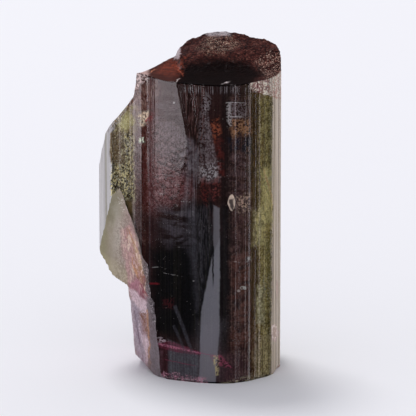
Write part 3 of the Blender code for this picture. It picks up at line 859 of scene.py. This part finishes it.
# Thin light lines down the ribs, painted light: light where the noise crosses a half.
rib_light_lines = abs(rib_light_noise - 0.5).rise(0.035, 0.010)
# Across the crystal: pale ends painted for the light seen through the clear edges, thin light stops painted
# rib highlights.
heart_colour = heart.zones(heart_x + (heart_streak - 0.5) * 0.30, [
    (-11.1, deep(196, 193, 190)),
    (-9.54, deep(190, 185, 188)),
    (-9.36, deep(92, 72, 38)),
    (-8.82, deep(104, 86, 46)),
    (-7.92, deep(94, 74, 44)),
    (-7.74, deep(150, 142, 124)),
    (-7.56, deep(108, 92, 56)),
    (-6.84, deep(100, 80, 50)),
    (-6.64, deep(150, 130, 126)),
    (-6.48, deep(88, 62, 62)),
    (-5.88, deep(82, 56, 56)),
    (-5.76, deep(124, 104, 106)),
    (-5.64, deep(56, 22, 18)),
    (-4.86, deep(54, 22, 18)),
    (-4.68, deep(94, 74, 78)),
    (-4.5, deep(70, 38, 38)),
    (-3.9, deep(58, 32, 32)),
    (-2.94, deep(42, 24, 24)),
    (-0.42, deep(32, 19, 18)),
    (3.54, deep(34, 20, 20)),
    (4.02, deep(26, 17, 17)),
    (4.86, deep(28, 19, 19)),
    (5.46, deep(38, 26, 26)),
    (7.14, deep(34, 20, 18)),
    (7.38, deep(50, 32, 12)),
    (7.98, deep(54, 37, 14)),
    (8.22, deep(84, 68, 34)),
    (8.64, deep(92, 76, 40)),
    (8.82, deep(142, 128, 90)),
    (9, deep(106, 92, 46)),
    (9.66, deep(102, 88, 44)),
    (11.1, deep(172, 160, 146)),
])
# Both edges of the crystal end in nearly colourless growth; its paleness is painted, standing in for the
# light seen through it.
left_rim = heart_y.rise(-1.1, -0.8) * heart_x.rise(-6.0, -6.6) * heart_y.rise(5.0, 2.0)
heart_colour = heart.mix(left_rim, heart_colour, deep(194, 190, 190))
back_share = heart_y.rise(-1.0, 2.5)
# The back, pale at both ends: painted light seen through the clear edges.
back_colour = heart.zones(heart_x + (heart_streak - 0.5) * 3.0 + (heart_veil - 0.5) * 2.0, [
    (-11.0, deep(190, 184, 180)),
    (-9.6, deep(150, 140, 104)),
    (-8.0, deep(108, 92, 54)),
    (-6.2, deep(84, 62, 44)),
    (-4.6, deep(66, 34, 32)),
    (-1.0, deep(40, 24, 24)),
    (3.0, deep(34, 22, 22)),
    (6.0, deep(56, 34, 32)),
    (7.6, deep(100, 80, 44)),
    (9.2, deep(132, 118, 70)),
    (10.2, deep(150, 140, 110)),
    (11.0, deep(186, 178, 164)),
])
heart_colour = heart.mix(back_share, heart_colour, back_colour)
heart_swayed = heart.sheet((1.8, 1.0), (0.35, 0.45))
heart_sharp = heart.sheet((0.9, 0.18), (0.2, 0.10))
# The dark core and the flush of red above it run through the crystal from front to back.
heart_colour = heart.paint(heart_colour, heart.inside, heart_swayed, [
    (box(-5.94, -3.78, 27.9, 36.34), 0.7, 0.3 * mottled, deep(112, 70, 66)),
    ([(-5.82, 27.9), (-3.78, 27.9), (-3.78, 22.93), (-5.22, 22.18)], 0.7, 0.7 * mottled, deep(82, 40, 40)),
    ([(-4.14, 27.65), (-0.18, 26.4), (0.54, 23.42), (-4.5, 21.44)], 1.1,
     0.85 * heart_mottle.rise(0.36, 0.52), deep(104, 58, 60)),
    ([(-5.94, 21.19), (1.98, 22.68), (3.9, 18.95), (3.9, 4.05), (-4.74, 5.04)], 2.2, 0.75,
     deep(20, 16, 18)),
    ([(-4.74, 16.72), (2.22, 18.46), (3.9, 17.21), (3.9, 5.54), (-4.5, 6.28)], 1.3, 0.95, deep(8, 8, 10)),
])
heart_colour = heart.paint(heart_colour, heart.inside, heart_swayed, [
    # pink under the left corner of the rim
    ([(-6.66, 39.57), (-4.74, 38.58), (-4.74, 37.33), (-6.66, 36.59)], 0.3, 0.9 * flecked,
     deep(206, 170, 160)),
    ([(-6.66, 37.33), (-3.78, 37.58), (-3.78, 35.84), (-6.66, 33.11)], 0.6, 0.6 * mottled,
     deep(160, 116, 104)),
    # grey-blue veils across the grey facet and under it, partly painted reflection of the facet
    ([(-4.02, 36.09), (-1.62, 36.09), (-0.66, 30.38), (-1.62, 27.9), (-4.02, 27.9)], 0.8, 0.5 * veiled,
     deep(84, 70, 76)),
    ([(-4.02, 32.86), (-0.42, 31.37), (0.06, 27.9), (-4.02, 28.89)], 0.8, 0.55 * mottled,
     deep(100, 84, 90)),
    ([(-3.54, 21.93), (1.74, 22.18), (1.5, 17.21), (-3.06, 17.46)], 1.2, 0.6 * veiled, deep(66, 62, 70)),
    ([(-1.86, 28.89), (0.06, 30.38), (1.5, 29.14), (1.5, 25.66), (-0.9, 25.91)], 0.6, 0.6 * mottled,
     deep(98, 92, 100)),
    # mauve-grey and brown at the right of the middle
    ([(4.86, 28.89), (6.78, 28.89), (7.02, 23.18), (4.86, 23.42)], 0.5, 0.6 * veiled, deep(66, 50, 54)),
    ([(5.1, 23.42), (7.26, 23.42), (7.26, 21.19), (5.34, 20.94)], 0.6, 0.6 * mottled, deep(96, 76, 74)),
    ([(4.98, 21.19), (7.26, 21.19), (7.26, 15.23), (5.1, 15.23)], 0.8, 0.5 * veiled, deep(60, 40, 42)),
    ([(4.98, 15.97), (7.38, 16.47), (7.5, 4.05), (5.1, 4.05)], 0.6, 0.6 * veiled, deep(74, 42, 36)),
    ([(3.78, 22.18), (4.74, 22.18), (4.86, 6.78), (3.78, 6.78)], 0.5, 0.7, deep(17, 16, 18)),
    ([(3.54, 4.05), (6.78, 3.55), (7.02, -0.42), (3.42, -0.42)], 0.8, 0.6, deep(60, 40, 46)),
    # gold, green and brown at the right
    (box(7.26, 8.7, 23.42, 35.97), 0.5, 0.55 * mottled, deep(60, 46, 24)),
    ([(8.76, 35.72), (10.14, 35.35), (9.66, 26.9), (8.76, 26.9)], 0.35, 0.6 + 0.3 * flecked,
     deep(74, 68, 40)),
    ([(8.58, 27.15), (9.72, 27.15), (9.78, 19.7), (8.58, 20.44)], 0.35, 0.7 + 0.25 * mottled,
     deep(202, 180, 92)),
    ([(7.38, 21.69), (8.76, 22.18), (8.76, 17.21), (7.38, 17.21)], 0.4, 0.4 + 0.5 * mottled,
     deep(152, 136, 76)),
    ([(7.98, 12.25), (8.76, 12.25), (8.76, 7.28), (7.98, 7.77)], 0.4, 0.8 * flecked, deep(200, 190, 130)),
    (box(7.98, 8.76, 0.07, 6.04), 0.4, 0.75 * flecked, deep(164, 136, 100)),
    (box(8.7, 9.78, 6.78, 17.96), 0.4, 0.7 * mottled, deep(78, 76, 44)),
    # painted glints: white-green sparkle in the olive at the right
    (box(8.82, 9.9, 10.76, 13.49), 0.4, 0.85 * heart_glints, deep(190, 208, 184)),
    (box(7.26, 8.1, 0.07, 8.02), 0.4, 0.75 * mottled, deep(106, 78, 56)),
    (box(8.82, 9.78, 0.07, 6.78), 0.4, 0.8 * flecked, deep(172, 156, 92)),
    (box(8.1, 9.78, -0.42, 35.6), 0.4,
     0.4 * heart_fine.rise(0.57, 0.66) + 0.4 * heart_hair.rise(0.54, 0.62), deep(184, 162, 88)),
    (box(7.26, 9.78, -0.42, 35.6), 0.4,
     0.35 * heart_fine.rise(0.43, 0.34) + 0.4 * heart_hair.rise(0.46, 0.38), deep(28, 18, 8)),
    ([(8.7, 26.9), (9.72, 26.9), (9.72, 20.19), (8.7, 20.69)], 0.35, 0.5, deep(222, 198, 104)),
    ([(8.1, 21.93), (8.76, 22.18), (8.76, 17.46), (8.1, 17.46)], 0.4, 0.45, deep(206, 186, 108)),
    ([(8.1, 12.25), (8.76, 12.25), (8.76, 7.28), (8.1, 7.53)], 0.4, 0.45, deep(214, 198, 134)),
    ([(7.98, 5.79), (9.78, 6.04), (9.78, -0.17), (7.98, -0.17)], 0.6, 0.35, deep(190, 160, 108)),
    (box(4.74, 7.26, -0.42, 35.84), 0.5,
     0.25 * heart_fine.rise(0.56, 0.68) + 0.3 * heart_hair.rise(0.54, 0.62), deep(92, 64, 58)),
    (GREY_FACET, 1.4, 0.40 * heart_fine.rise(0.56, 0.66), deep(132, 98, 100)),
    (GREY_FACET, 1.4, 0.5 * heart_fine.rise(0.44, 0.36), deep(28, 15, 15)),
    ([(-0.66, 21.93), (2.46, 22.18), (2.7, 16.72), (1.62, 11.75), (1.14, 9.02), (0.42, 9.02),
     (-0.06, 16.72)], 0.5, 0.7, deep(47, 46, 51)),
    # gold at the left, with painted sparkle: light glints and dark grains
    ([(-8.58, 34.35), (-6.42, 34.85), (-6.42, 31.62), (-8.82, 31.37)], 0.6, 0.8 * mottled,
     deep(176, 162, 104)),
    ([(-10.26, 33.11), (-8.58, 33.86), (-8.34, 32.86), (-9.3, 31.62), (-10.26, 31.5)], 0.3, 0.7 * flecked,
     deep(150, 142, 140)),
    (LEFT_SPARKLE, 0.6, 0.95 * heart_fine.rise(0.57, 0.63), deep(240, 224, 156)),
    (LEFT_SPARKLE, 0.6, 0.85 * heart_fine.rise(0.46, 0.40), deep(28, 20, 6)),
    ([(-8.34, 30.38), (-6.66, 30.38), (-6.66, 22.93), (-8.1, 23.42)], 0.6,
     0.55 * heart_fine.rise(0.46, 0.60), deep(196, 178, 112)),
    ([(-6.66, 22.93), (-5.58, 22.18), (-5.22, 17.21), (-6.18, 17.96)], 0.3, 0.5 * mottled,
     deep(92, 66, 62)),
], heart_front)
heart_colour = heart.paint(heart_colour, heart.inside, heart_sharp, [
    # hairs between the grey facet and the middle, then the mottled grey sheets beside them
    (HAIR_SHEET, 0.3, 0.6 * heart_wave.rise(0.52, 0.60), deep(84, 56, 54)),
    (HAIR_SHEET, 0.3, 0.6 * heart_wave.rise(0.46, 0.40), deep(16, 9, 9)),
    ([(1.5, 35.84), (2.22, 35.6), (2.34, 25.16), (1.14, 25.16), (1.14, 31.62)], 0.3, 0.55 * flecked,
     deep(92, 84, 88)),
    ([(1.86, 34.85), (2.34, 33.11), (3.54, 26.4), (3.66, 25.16), (1.98, 24.91)], 0.15,
     0.35 + 0.45 * flecked, deep(98, 86, 90)),
    ([(1.26, 27.15), (3.54, 27.65), (3.66, 25.78), (1.26, 25.16)], 0.3, 0.75 * heart_fine.rise(0.50, 0.58),
     deep(164, 158, 164)),
    ([(1.98, 36.34), (2.7, 35.35), (2.34, 33.86), (1.86, 34.35)], 0.2, 0.4 * flecked, deep(140, 130, 136)),
    ([(-0.18, 30.63), (0.54, 30.38), (0.9, 26.4), (0.06, 26.65)], 0.4, 0.4 * heart_hair.rise(0.4, 0.6),
     deep(112, 108, 118)),
    ([(-0.06, 28.14), (0.54, 28.14), (-0.42, 20.94), (-1.02, 20.94)], 0.3,
     0.55 * heart_hair.rise(0.35, 0.6), deep(104, 98, 106)),
    ([(0.78, 29.39), (1.14, 29.39), (0.66, 20.94), (0.06, 20.94)], 0.25, 0.5 * heart_hair.rise(0.35, 0.6),
     deep(98, 94, 102)),
    ([(0.78, 22.18), (2.94, 22.93), (2.82, 15.23), (1.26, 9.76), (0.9, 15.48)], 0.25,
     0.85 * heart_wave.rise(0.54, 0.46), deep(10, 10, 12)),
    # red and orange flashes
    ([(1.26, 25.66), (1.98, 25.91), (2.34, 24.17), (2.1, 22.18), (1.38, 23.42)], 0.25,
     0.75 * heart_fine.rise(0.40, 0.60), deep(70, 26, 24)),
    ([(2.22, 25.16), (3.66, 25.91), (3.66, 23.42), (2.82, 22.68)], 0.25, 0.75 * heart_fine.rise(0.40, 0.60),
     deep(80, 34, 32)),
    ([(2.58, 32.61), (3.42, 33.11), (3.78, 31.12), (3.06, 30.13)], 0.35, 0.75 * flecked, deep(138, 58, 38)),
    ([(3.06, 30.63), (3.9, 30.88), (4.14, 25.91), (3.54, 25.91)], 0.35, 0.6 * mottled, deep(84, 28, 24)),
    ([(4.86, 32.86), (7.14, 33.11), (7.26, 31.12), (5.1, 30.75)], 0.4, 0.8 * heart_fine.rise(0.36, 0.58),
     deep(140, 86, 56)),
    ([(-3.18, 10.63), (-1.86, 10.63), (-1.98, 9.39), (-3.06, 9.51)], 0.3, 0.5 * flecked, deep(56, 14, 20)),
    # etched box, blue-black patch and brown grains at the right of the middle
    (box(4.86, 6.78, 32.99, 35.1), 0.3, 0.6 * flecked, deep(92, 82, 88)),
    ([(4.38, 34.85), (4.92, 34.97), (5.04, 32.12), (4.56, 31.87)], 0.15, 0.85 * heart_fine.rise(0.38, 0.5),
     deep(176, 166, 168)),
    ([(4.5, 30.63), (5.82, 30.88), (6.06, 29.14), (4.86, 29.14)], 0.3, 0.85 * heart_mottle.rise(0.56, 0.48),
     deep(18, 20, 30)),
    ([(5.94, 30.63), (7.26, 30.88), (7.38, 28.64), (6.18, 28.89)], 0.3, 0.9 * heart_mottle.rise(0.6, 0.5),
     deep(16, 17, 24)),
    ([(5.58, 23.42), (7.14, 23.67), (7.14, 21.69), (5.82, 21.44)], 0.3, 0.8 * heart_fine.rise(0.52, 0.58),
     deep(190, 136, 110)),
    (box(6.78, 7.2, 15.23, 15.85), 0.15, 0.8 * flecked, deep(196, 188, 184)),
    # pink patch under the rim at the right, and the clear strip beside the orange line, painted pale for the
    # light seen through it
    ([(7.14, 39.07), (11.34, 39.57), (11.34, 35.72), (9.9, 35.35), (8.7, 36.09), (7.26, 36.09)], 0.15,
     0.5 + 0.45 * mottled, deep(176, 146, 134)),
    (box(7.26, 8.22, 36.34, 38.08), 0.3, 0.7 * heart_fine.rise(0.44, 0.54), deep(196, 120, 124)),
    ([(7.98, 38.33), (11.34, 39.32), (11.34, 36.59), (8.7, 36.59)], 0.3, 0.7 * heart_fine.rise(0.44, 0.54),
     deep(220, 198, 192)),
    ([(9.9, 35.35), (11.34, 35.35), (11.34, 17.96), (10.86, 18.46), (10.02, 22.31)], 0.15, 0.75,
     deep(188, 178, 166)),
    # cream inclusion and painted sparkle, glints of light, at the left
    ([(-6.3, 33.11), (-5.82, 33.98), (-4.86, 33.98), (-4.86, 32.61), (-5.94, 31.99)], 0.4,
     0.95 * heart_fine.rise(0.46, 0.54), deep(246, 190, 158)),
    ([(-5.22, 33.73), (-4.26, 33.86), (-4.5, 32.86), (-4.98, 32.61)], 0.15, 0.7 * flecked,
     deep(120, 44, 48)),
    ([(-8.58, 33.11), (-7.14, 33.61), (-6.42, 32.37), (-7.62, 31.87), (-8.58, 32.12)], 0.4, 0.6 * flecked,
     deep(206, 196, 132)),
    ([(-6.06, 30.63), (-5.46, 30.75), (-5.34, 30.13), (-6.06, 30.01)], 0.12,
     0.95 * heart_fine.rise(0.40, 0.48), deep(214, 222, 196)),
    ([(-7.74, 30.38), (-7.14, 30.13), (-7.02, 28.64), (-7.62, 28.64)], 0.2,
     0.9 * heart_fine.rise(0.42, 0.5), deep(216, 214, 196)),
    ([(-7.62, 25.91), (-7.14, 25.41), (-7.02, 23.92), (-7.62, 24.17)], 0.2,
     0.8 * heart_fine.rise(0.44, 0.52), deep(206, 206, 180)),
    # grey wedge and slate panel, painted reflections of flat facets, and the red beside it
    ([(2.88, 22.31), (3.6, 21.93), (3.66, 11.5), (2.92, 11.5)], 0.10, 0.92, deep(80, 78, 84)),
    ([(2.82, 16.22), (3.64, 18.21), (3.59, 6.78), (3.12, -0.67), (1.14, -0.67), (1.44, 9.02)], 0.10, 0.97,
     deep(90, 90, 98)),
    ([(1.62, 7.28), (3.54, 7.28), (3, -0.67), (1.14, -0.67), (1.26, 4.3)], 1.6, 0.4, deep(110, 104, 116)),
    ([(-2.58, 5.54), (1.14, 3.68), (1.14, -0.42), (-2.58, -0.42)], 0.2, 0.85, deep(70, 70, 78)),
    ([(-4.74, 4.92), (-2.58, 4.55), (-2.58, -0.42), (-4.74, -0.42)], 0.2, 0.8, deep(48, 24, 30)),
    (box(-3.78, -3.18, 0.57, 4.05), 0.12, 0.5, deep(88, 58, 66)),
    # magenta plane, the crimson one on the right and the orange fleck
    ([(-4.5, 5.66), (-2.34, 5.29), (1.38, 3.92), (1.38, 3.55), (-1.14, 3.8), (-4.5, 4.67)], 0.10,
     0.4 + 0.3 * flecked, deep(96, 32, 50)),
    ([(-4.5, 5.79), (-3.3, 5.79), (-2.58, 5.29), (-3.54, 5.04), (-4.5, 5.29)], 0.10,
     0.9 * heart_fine.rise(0.36, 0.46), deep(236, 158, 178)),
    ([(-4.5, 5.22), (-1.74, 4.62), (1.38, 3.88), (1.38, 3.7), (-2.1, 4.35), (-4.5, 4.97)], 0.06,
     0.5 + 0.5 * flecked, deep(196, 84, 112)),
    ([(2.46, 3.55), (3.78, 3.55), (5.34, 1.81), (3.18, 2.31)], 0.15, 0.8 * heart_fine.rise(0.36, 0.54),
     deep(132, 50, 70)),
    ([(2.88, 3.55), (3.42, 3.55), (3.54, 2.56), (2.94, 2.31)], 0.1, 0.95 * heart_fine.rise(0.44, 0.52),
     deep(226, 176, 116)),
    ([(3.06, 2.31), (3.48, 2.56), (3.54, 0.94), (3.18, 0.94)], 0.1, 0.95 * heart_fine.rise(0.42, 0.50),
     deep(220, 166, 104)),
    ([(-4.5, 1.56), (-1.62, 0.94), (1.74, 0.2), (1.74, -0.67), (-4.5, -0.67)], 0.2, 0.85 * flecked,
     deep(142, 62, 88)),
    ([(-4.5, 1.07), (1.74, 0.32), (1.74, -0.67), (-4.5, -0.67)], 0.2, 0.85 * heart_fine.rise(0.56, 0.62),
     deep(232, 206, 216)),
    # chipped light and dark lines hanging from the rim, the light a painted highlight of the chipped edge
    ([(-1.62, 37.46), (3.06, 37.09), (7.02, 37.33), (7.02, 36.34), (3.06, 35.97), (-1.38, 36.34)], 0.2,
     0.75 * heart_hair.rise(0.54, 0.62), deep(132, 124, 130)),
], heart_front)
heart_colour = heart.paint(heart_colour, heart.line, heart_sharp, [
    ((2.86, 17.21), (2.86, 11.5), 0.18, 0.95, deep(12, 11, 13)),
    ((-1.74, 9.76), (1.26, 1.32), 0.40, 0.45, deep(62, 62, 70)),
    ((-1.86, 7.28), (0.06, 2.56), 0.34, 0.4, deep(60, 60, 68)),
    ((-2.94, 2.93), (1.38, 2.06), 0.08, 0.8, deep(128, 44, 68)),
    ((0.78, 3.92), (3.9, 3.3), 0.10, 0.6, deep(140, 60, 84)),
    ((-4.74, 12.49), (-3.42, 12.49), 0.22, 0.7, deep(120, 20, 30)),
    ((4.38, 34.97), (6.66, 34.97), 0.09, 0.85, deep(196, 188, 188)),
    ((4.86, 33.24), (6.54, 33.24), 0.12, 0.85, deep(190, 184, 186)),
    ((8.7, 26.9), (10.86, 18.46), 0.14, 0.85, deep(176, 118, 76)),
    ((4.86, 15.35), (6.42, 15.1), 0.08, 0.7 * flecked, deep(176, 156, 146)),
    ((-3.18, 13.86), (-0.66, 13.36), 0.06, 0.6 * flecked, deep(176, 172, 176)),
    ((-1.38, 17.09), (-0.18, 16.97), 0.06, 0.5 * flecked, deep(150, 146, 150)),
    ((-1.02, 22.8), (0.42, 22.68), 0.08, 0.8 * flecked, deep(190, 184, 188)),
    ((-4.38, 14.48), (-3.54, 14.61), 0.08, 0.8, deep(190, 190, 196)),
    ((-3.78, 27.77), (0.78, 25.41), 0.28, 0.7, deep(34, 18, 20)),
    ((-4.02, 31.37), (-0.42, 28.89), 0.20, 0.6, deep(40, 26, 28)),
    ((-3.78, 28.14), (-1.62, 27.15), 0.10, 0.5 * flecked, deep(130, 100, 100)),
], heart_front)
heart_colour = heart.paint(heart_colour, heart.spot, heart_sharp, [
    ((6.42, 12), (0.41, 0.24), 0.85 * flecked, deep(210, 184, 172)),
    ((5.82, 11.63), (0.19, 0.14), 0.6, deep(190, 160, 146)),
    ((0.54, 12.87), (0.12, 0.1), 0.5, deep(190, 186, 190)),
    ((-3.3, 23.67), (0.19, 0.14), 0.7 * flecked, deep(196, 150, 150)),
    ((-1.74, 34.97), (0.12, 0.1), 0.8, deep(210, 204, 210)),
    ((9.42, 25.66), (0.19, 0.29), 0.8 * flecked, deep(220, 220, 200)),
], heart_front)
heart_specks = heart.cells((0.45, 0.45, 0.45), 6).rise(0.13, 0.08) * heart_mottle.rise(0.46, 0.56)
heart_colour = heart.mix(heart_specks * 0.5, heart_colour, deep(140, 132, 130))
# Painted light lines of the ribs, strongest at both sides.
heart_sides = abs(heart_x - 0.3).rise(5.5, 7.5)
heart_colour = heart.mix(rib_light_lines * (0.02 + 0.22 * heart_sides), heart_colour, deep(166, 148, 92))
# The grey wedge is a painted reflection of a flat facet: no hairs and hardly any grain on it.
GREY_WEDGE = [(2.82, 22.31), (3.66, 22.31), (3.61, 6.78), (3.12, -0.67), (1.14, -0.67), (1.44, 9.02)]
GRAIN_TINT = (0.50, 0.47, 0.45)
uneven = 1.0 - heart.inside(heart_sharp, GREY_WEDGE, 0.1) * heart_front * 0.85
heart_colour = heart.mix(heart_hair.rise(0.58, 0.42) * 0.6 * uneven, heart_colour, GRAIN_TINT, "MULTIPLY")
heart_colour = heart.mix(heart_fine.rise(0.60, 0.40) * 0.5 * uneven, heart_colour, GRAIN_TINT, "MULTIPLY")
heart_shader = heart.node("ShaderNodeBsdfPrincipled", {}, {
    "Base Color": heart_colour,
    "Roughness": 0.8,
    "Specular IOR Level": 0.0,
})
dark_heart = heart.finished(heart_shader)
heart_levels = np.linspace(HEART_BASE, CRYSTAL_TOP, 12)
heart_rings = plan_corners(heart_levels, HEART_DEPTH)
colour_heart = made("colour_heart", *closed_tube(heart_rings, heart_levels), [dark_heart])


def deeper(relief, by):
    """The same break, by millimetres further in."""
    return lambda points, up: relief(points, up) - by


cut_out(colour_heart, [
    break_cutter(name, *place, HEART_GRID, deeper(relief, by), 0, [dark_heart])
    for name, place, relief, by in [
        ("cut_heart_top", TOP_BREAK, top_relief, 0.2),
        ("cut_heart_shoulder", SHOULDER_BREAK, shoulder_relief, 0.3),
        ("cut_heart_scar", SCAR_BREAK, scar_relief, 0.25),
    ]
])
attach(colour_heart, "root")

# The floor.
# A pale seamless sheet of paper lies under the crystal, a hair below its base. It takes the soft shadow and
# isn't mirrored in the faces.

FLOOR_SIDE = 3000.0
FLOOR_GAP = 0.02
paper = Finish("pale_paper")
pale_paper = paper.finished(paper.node("ShaderNodeBsdfDiffuse", {}, {"Color": (0.90, 0.90, 0.935)}))
floor_points = np.array([(-1, -1, 0), (1, -1, 0), (1, 1, 0), (-1, 1, 0)]) * FLOOR_SIDE / 2
floor = made("floor", floor_points - (0, 0, FLOOR_GAP), [[0, 1, 2, 3]], [pale_paper])
floor.visible_glossy = False

# The cards, the tent and the lamp.
# White cards stand beside and behind the crystal and show in its faces alone. A white tent lights it evenly,
# dark where the faces mirror it, and a wide lamp above and behind gives the soft shadow in front of the base.


def card(name, azimuth, distance, width, low, high, full, glow):
    """An upright white card at an azimuth from the front, negative to the left, seen only in reflections. It
    is dark at its low edge, fully lit from the height full upwards, and uneven from side to side."""
    a = math.radians(azimuth)
    middle = np.array([math.sin(a), -math.cos(a)]) * distance
    side = np.array([math.cos(a), math.sin(a)]) * width / 2
    near, far = middle - side, middle + side
    points = [(*near, low), (*far, low), (*far, high), (*near, high)]
    shine = Finish(name + "_glow")
    z = shine.place()[2]
    lit = z.rise(low, full) * (0.6 + 0.9 * shine.noise((2.5, 2.5, 40.0), 30, detail=3.0))
    lit = lit * (0.6 + 0.8 * shine.noise((9.0, 9.0, 9.0), 31, detail=3.0))
    colour = shine.mix(lit.least(1.0), (0.0, 0.0, 0.0), (1.0, 0.90, 0.95))
    glowing = shine.finished(shine.node("ShaderNodeEmission", {}, {"Color": colour, "Strength": glow}))
    piece = made(name, points, [[0, 1, 2, 3]], [glowing])
    piece.visible_camera = False
    piece.visible_diffuse = False
    piece.visible_transmission = False
    piece.visible_shadow = False


card("left_card", azimuth=-57, distance=90, width=42, low=-2, high=120, full=9, glow=2.2)
card("right_card", azimuth=66, distance=110, width=20, low=-60, high=120, full=-30, glow=1.5)
card("back_left_card", azimuth=-150, distance=120, width=40, low=-60, high=120, full=-30, glow=1.4)
card("back_right_card", azimuth=150, distance=120, width=40, low=-60, high=120, full=-30, glow=1.4)

TENT_COLOUR = (0.60, 0.60, 0.63, 1)
MIRRORED_COLOUR = (0.02, 0.02, 0.022, 1)
world = bpy.data.worlds.new("white_tent")
bpy.context.scene.world = world
world.use_nodes = True
world_nodes, world_links = world.node_tree.nodes, world.node_tree.links
background = world_nodes["Background"]
rays = world_nodes.new("ShaderNodeLightPath")
tent = world_nodes.new("ShaderNodeMix")
tent.data_type = "RGBA"
tent.inputs[6].default_value = TENT_COLOUR
tent.inputs[7].default_value = MIRRORED_COLOUR
mirrored = world_nodes.new("ShaderNodeMath")
mirrored.operation = "SUBTRACT"
mirrored.use_clamp = True
world_links.new(rays.outputs["Is Glossy Ray"], mirrored.inputs[0])
world_links.new(rays.outputs["Is Transmission Ray"], mirrored.inputs[1])
world_links.new(mirrored.outputs[0], tent.inputs[0])
world_links.new(tent.outputs[2], background.inputs["Color"])
background.inputs["Strength"].default_value = 1.0

# The lamp's side and place, and the point it shines at, in metres, and its power in watts.
LAMP_SIDE = 0.36
LAMP_PLACE = Vector((-0.22, 0.42, 1.20))
LAMP_AIM = Vector((0, 0, 0.02))
LAMP_POWER = 6.6
lamp_data = bpy.data.lights.new("top_lamp", "AREA")
lamp_data.shape = "RECTANGLE"
lamp_data.size, lamp_data.size_y = LAMP_SIDE, LAMP_SIDE
lamp_data.energy = LAMP_POWER
lamp = bpy.data.objects.new("top_lamp", lamp_data)
lamp.location = LAMP_PLACE
lamp.rotation_mode = "QUATERNION"
lamp.rotation_quaternion = (LAMP_AIM - LAMP_PLACE).to_track_quat("-Z", "Y")
bpy.context.scene.collection.objects.link(lamp)
lamp.visible_glossy = False

# The camera.
# It looks slightly down at the front of the crystal through a long lens.

# In metres: how far the camera is from its aim, how far the front is before that, and the width seen there.
CAMERA_DISTANCE = 0.6
FRONT_BEFORE_AIM = 0.008
WIDTH_AT_FRONT = 0.04992
CAMERA_AIM = Vector((0.00222, 0, 0.0196))
CAMERA_RISE = math.radians(15)
camera_data = bpy.data.cameras.new("camera")
camera_data.lens = camera_data.sensor_width * (CAMERA_DISTANCE - FRONT_BEFORE_AIM) / WIDTH_AT_FRONT
camera_data.clip_start, camera_data.clip_end = 0.01, 10
camera = bpy.data.objects.new("camera", camera_data)
back = Vector((0, -math.cos(CAMERA_RISE), math.sin(CAMERA_RISE)))
camera.location = CAMERA_AIM + back * CAMERA_DISTANCE
camera.rotation_mode = "QUATERNION"
camera.rotation_quaternion = (-back).to_track_quat("-Z", "Y")
bpy.context.scene.collection.objects.link(camera)
bpy.context.scene.camera = camera
bpy.context.scene.view_settings.view_transform = "Standard"
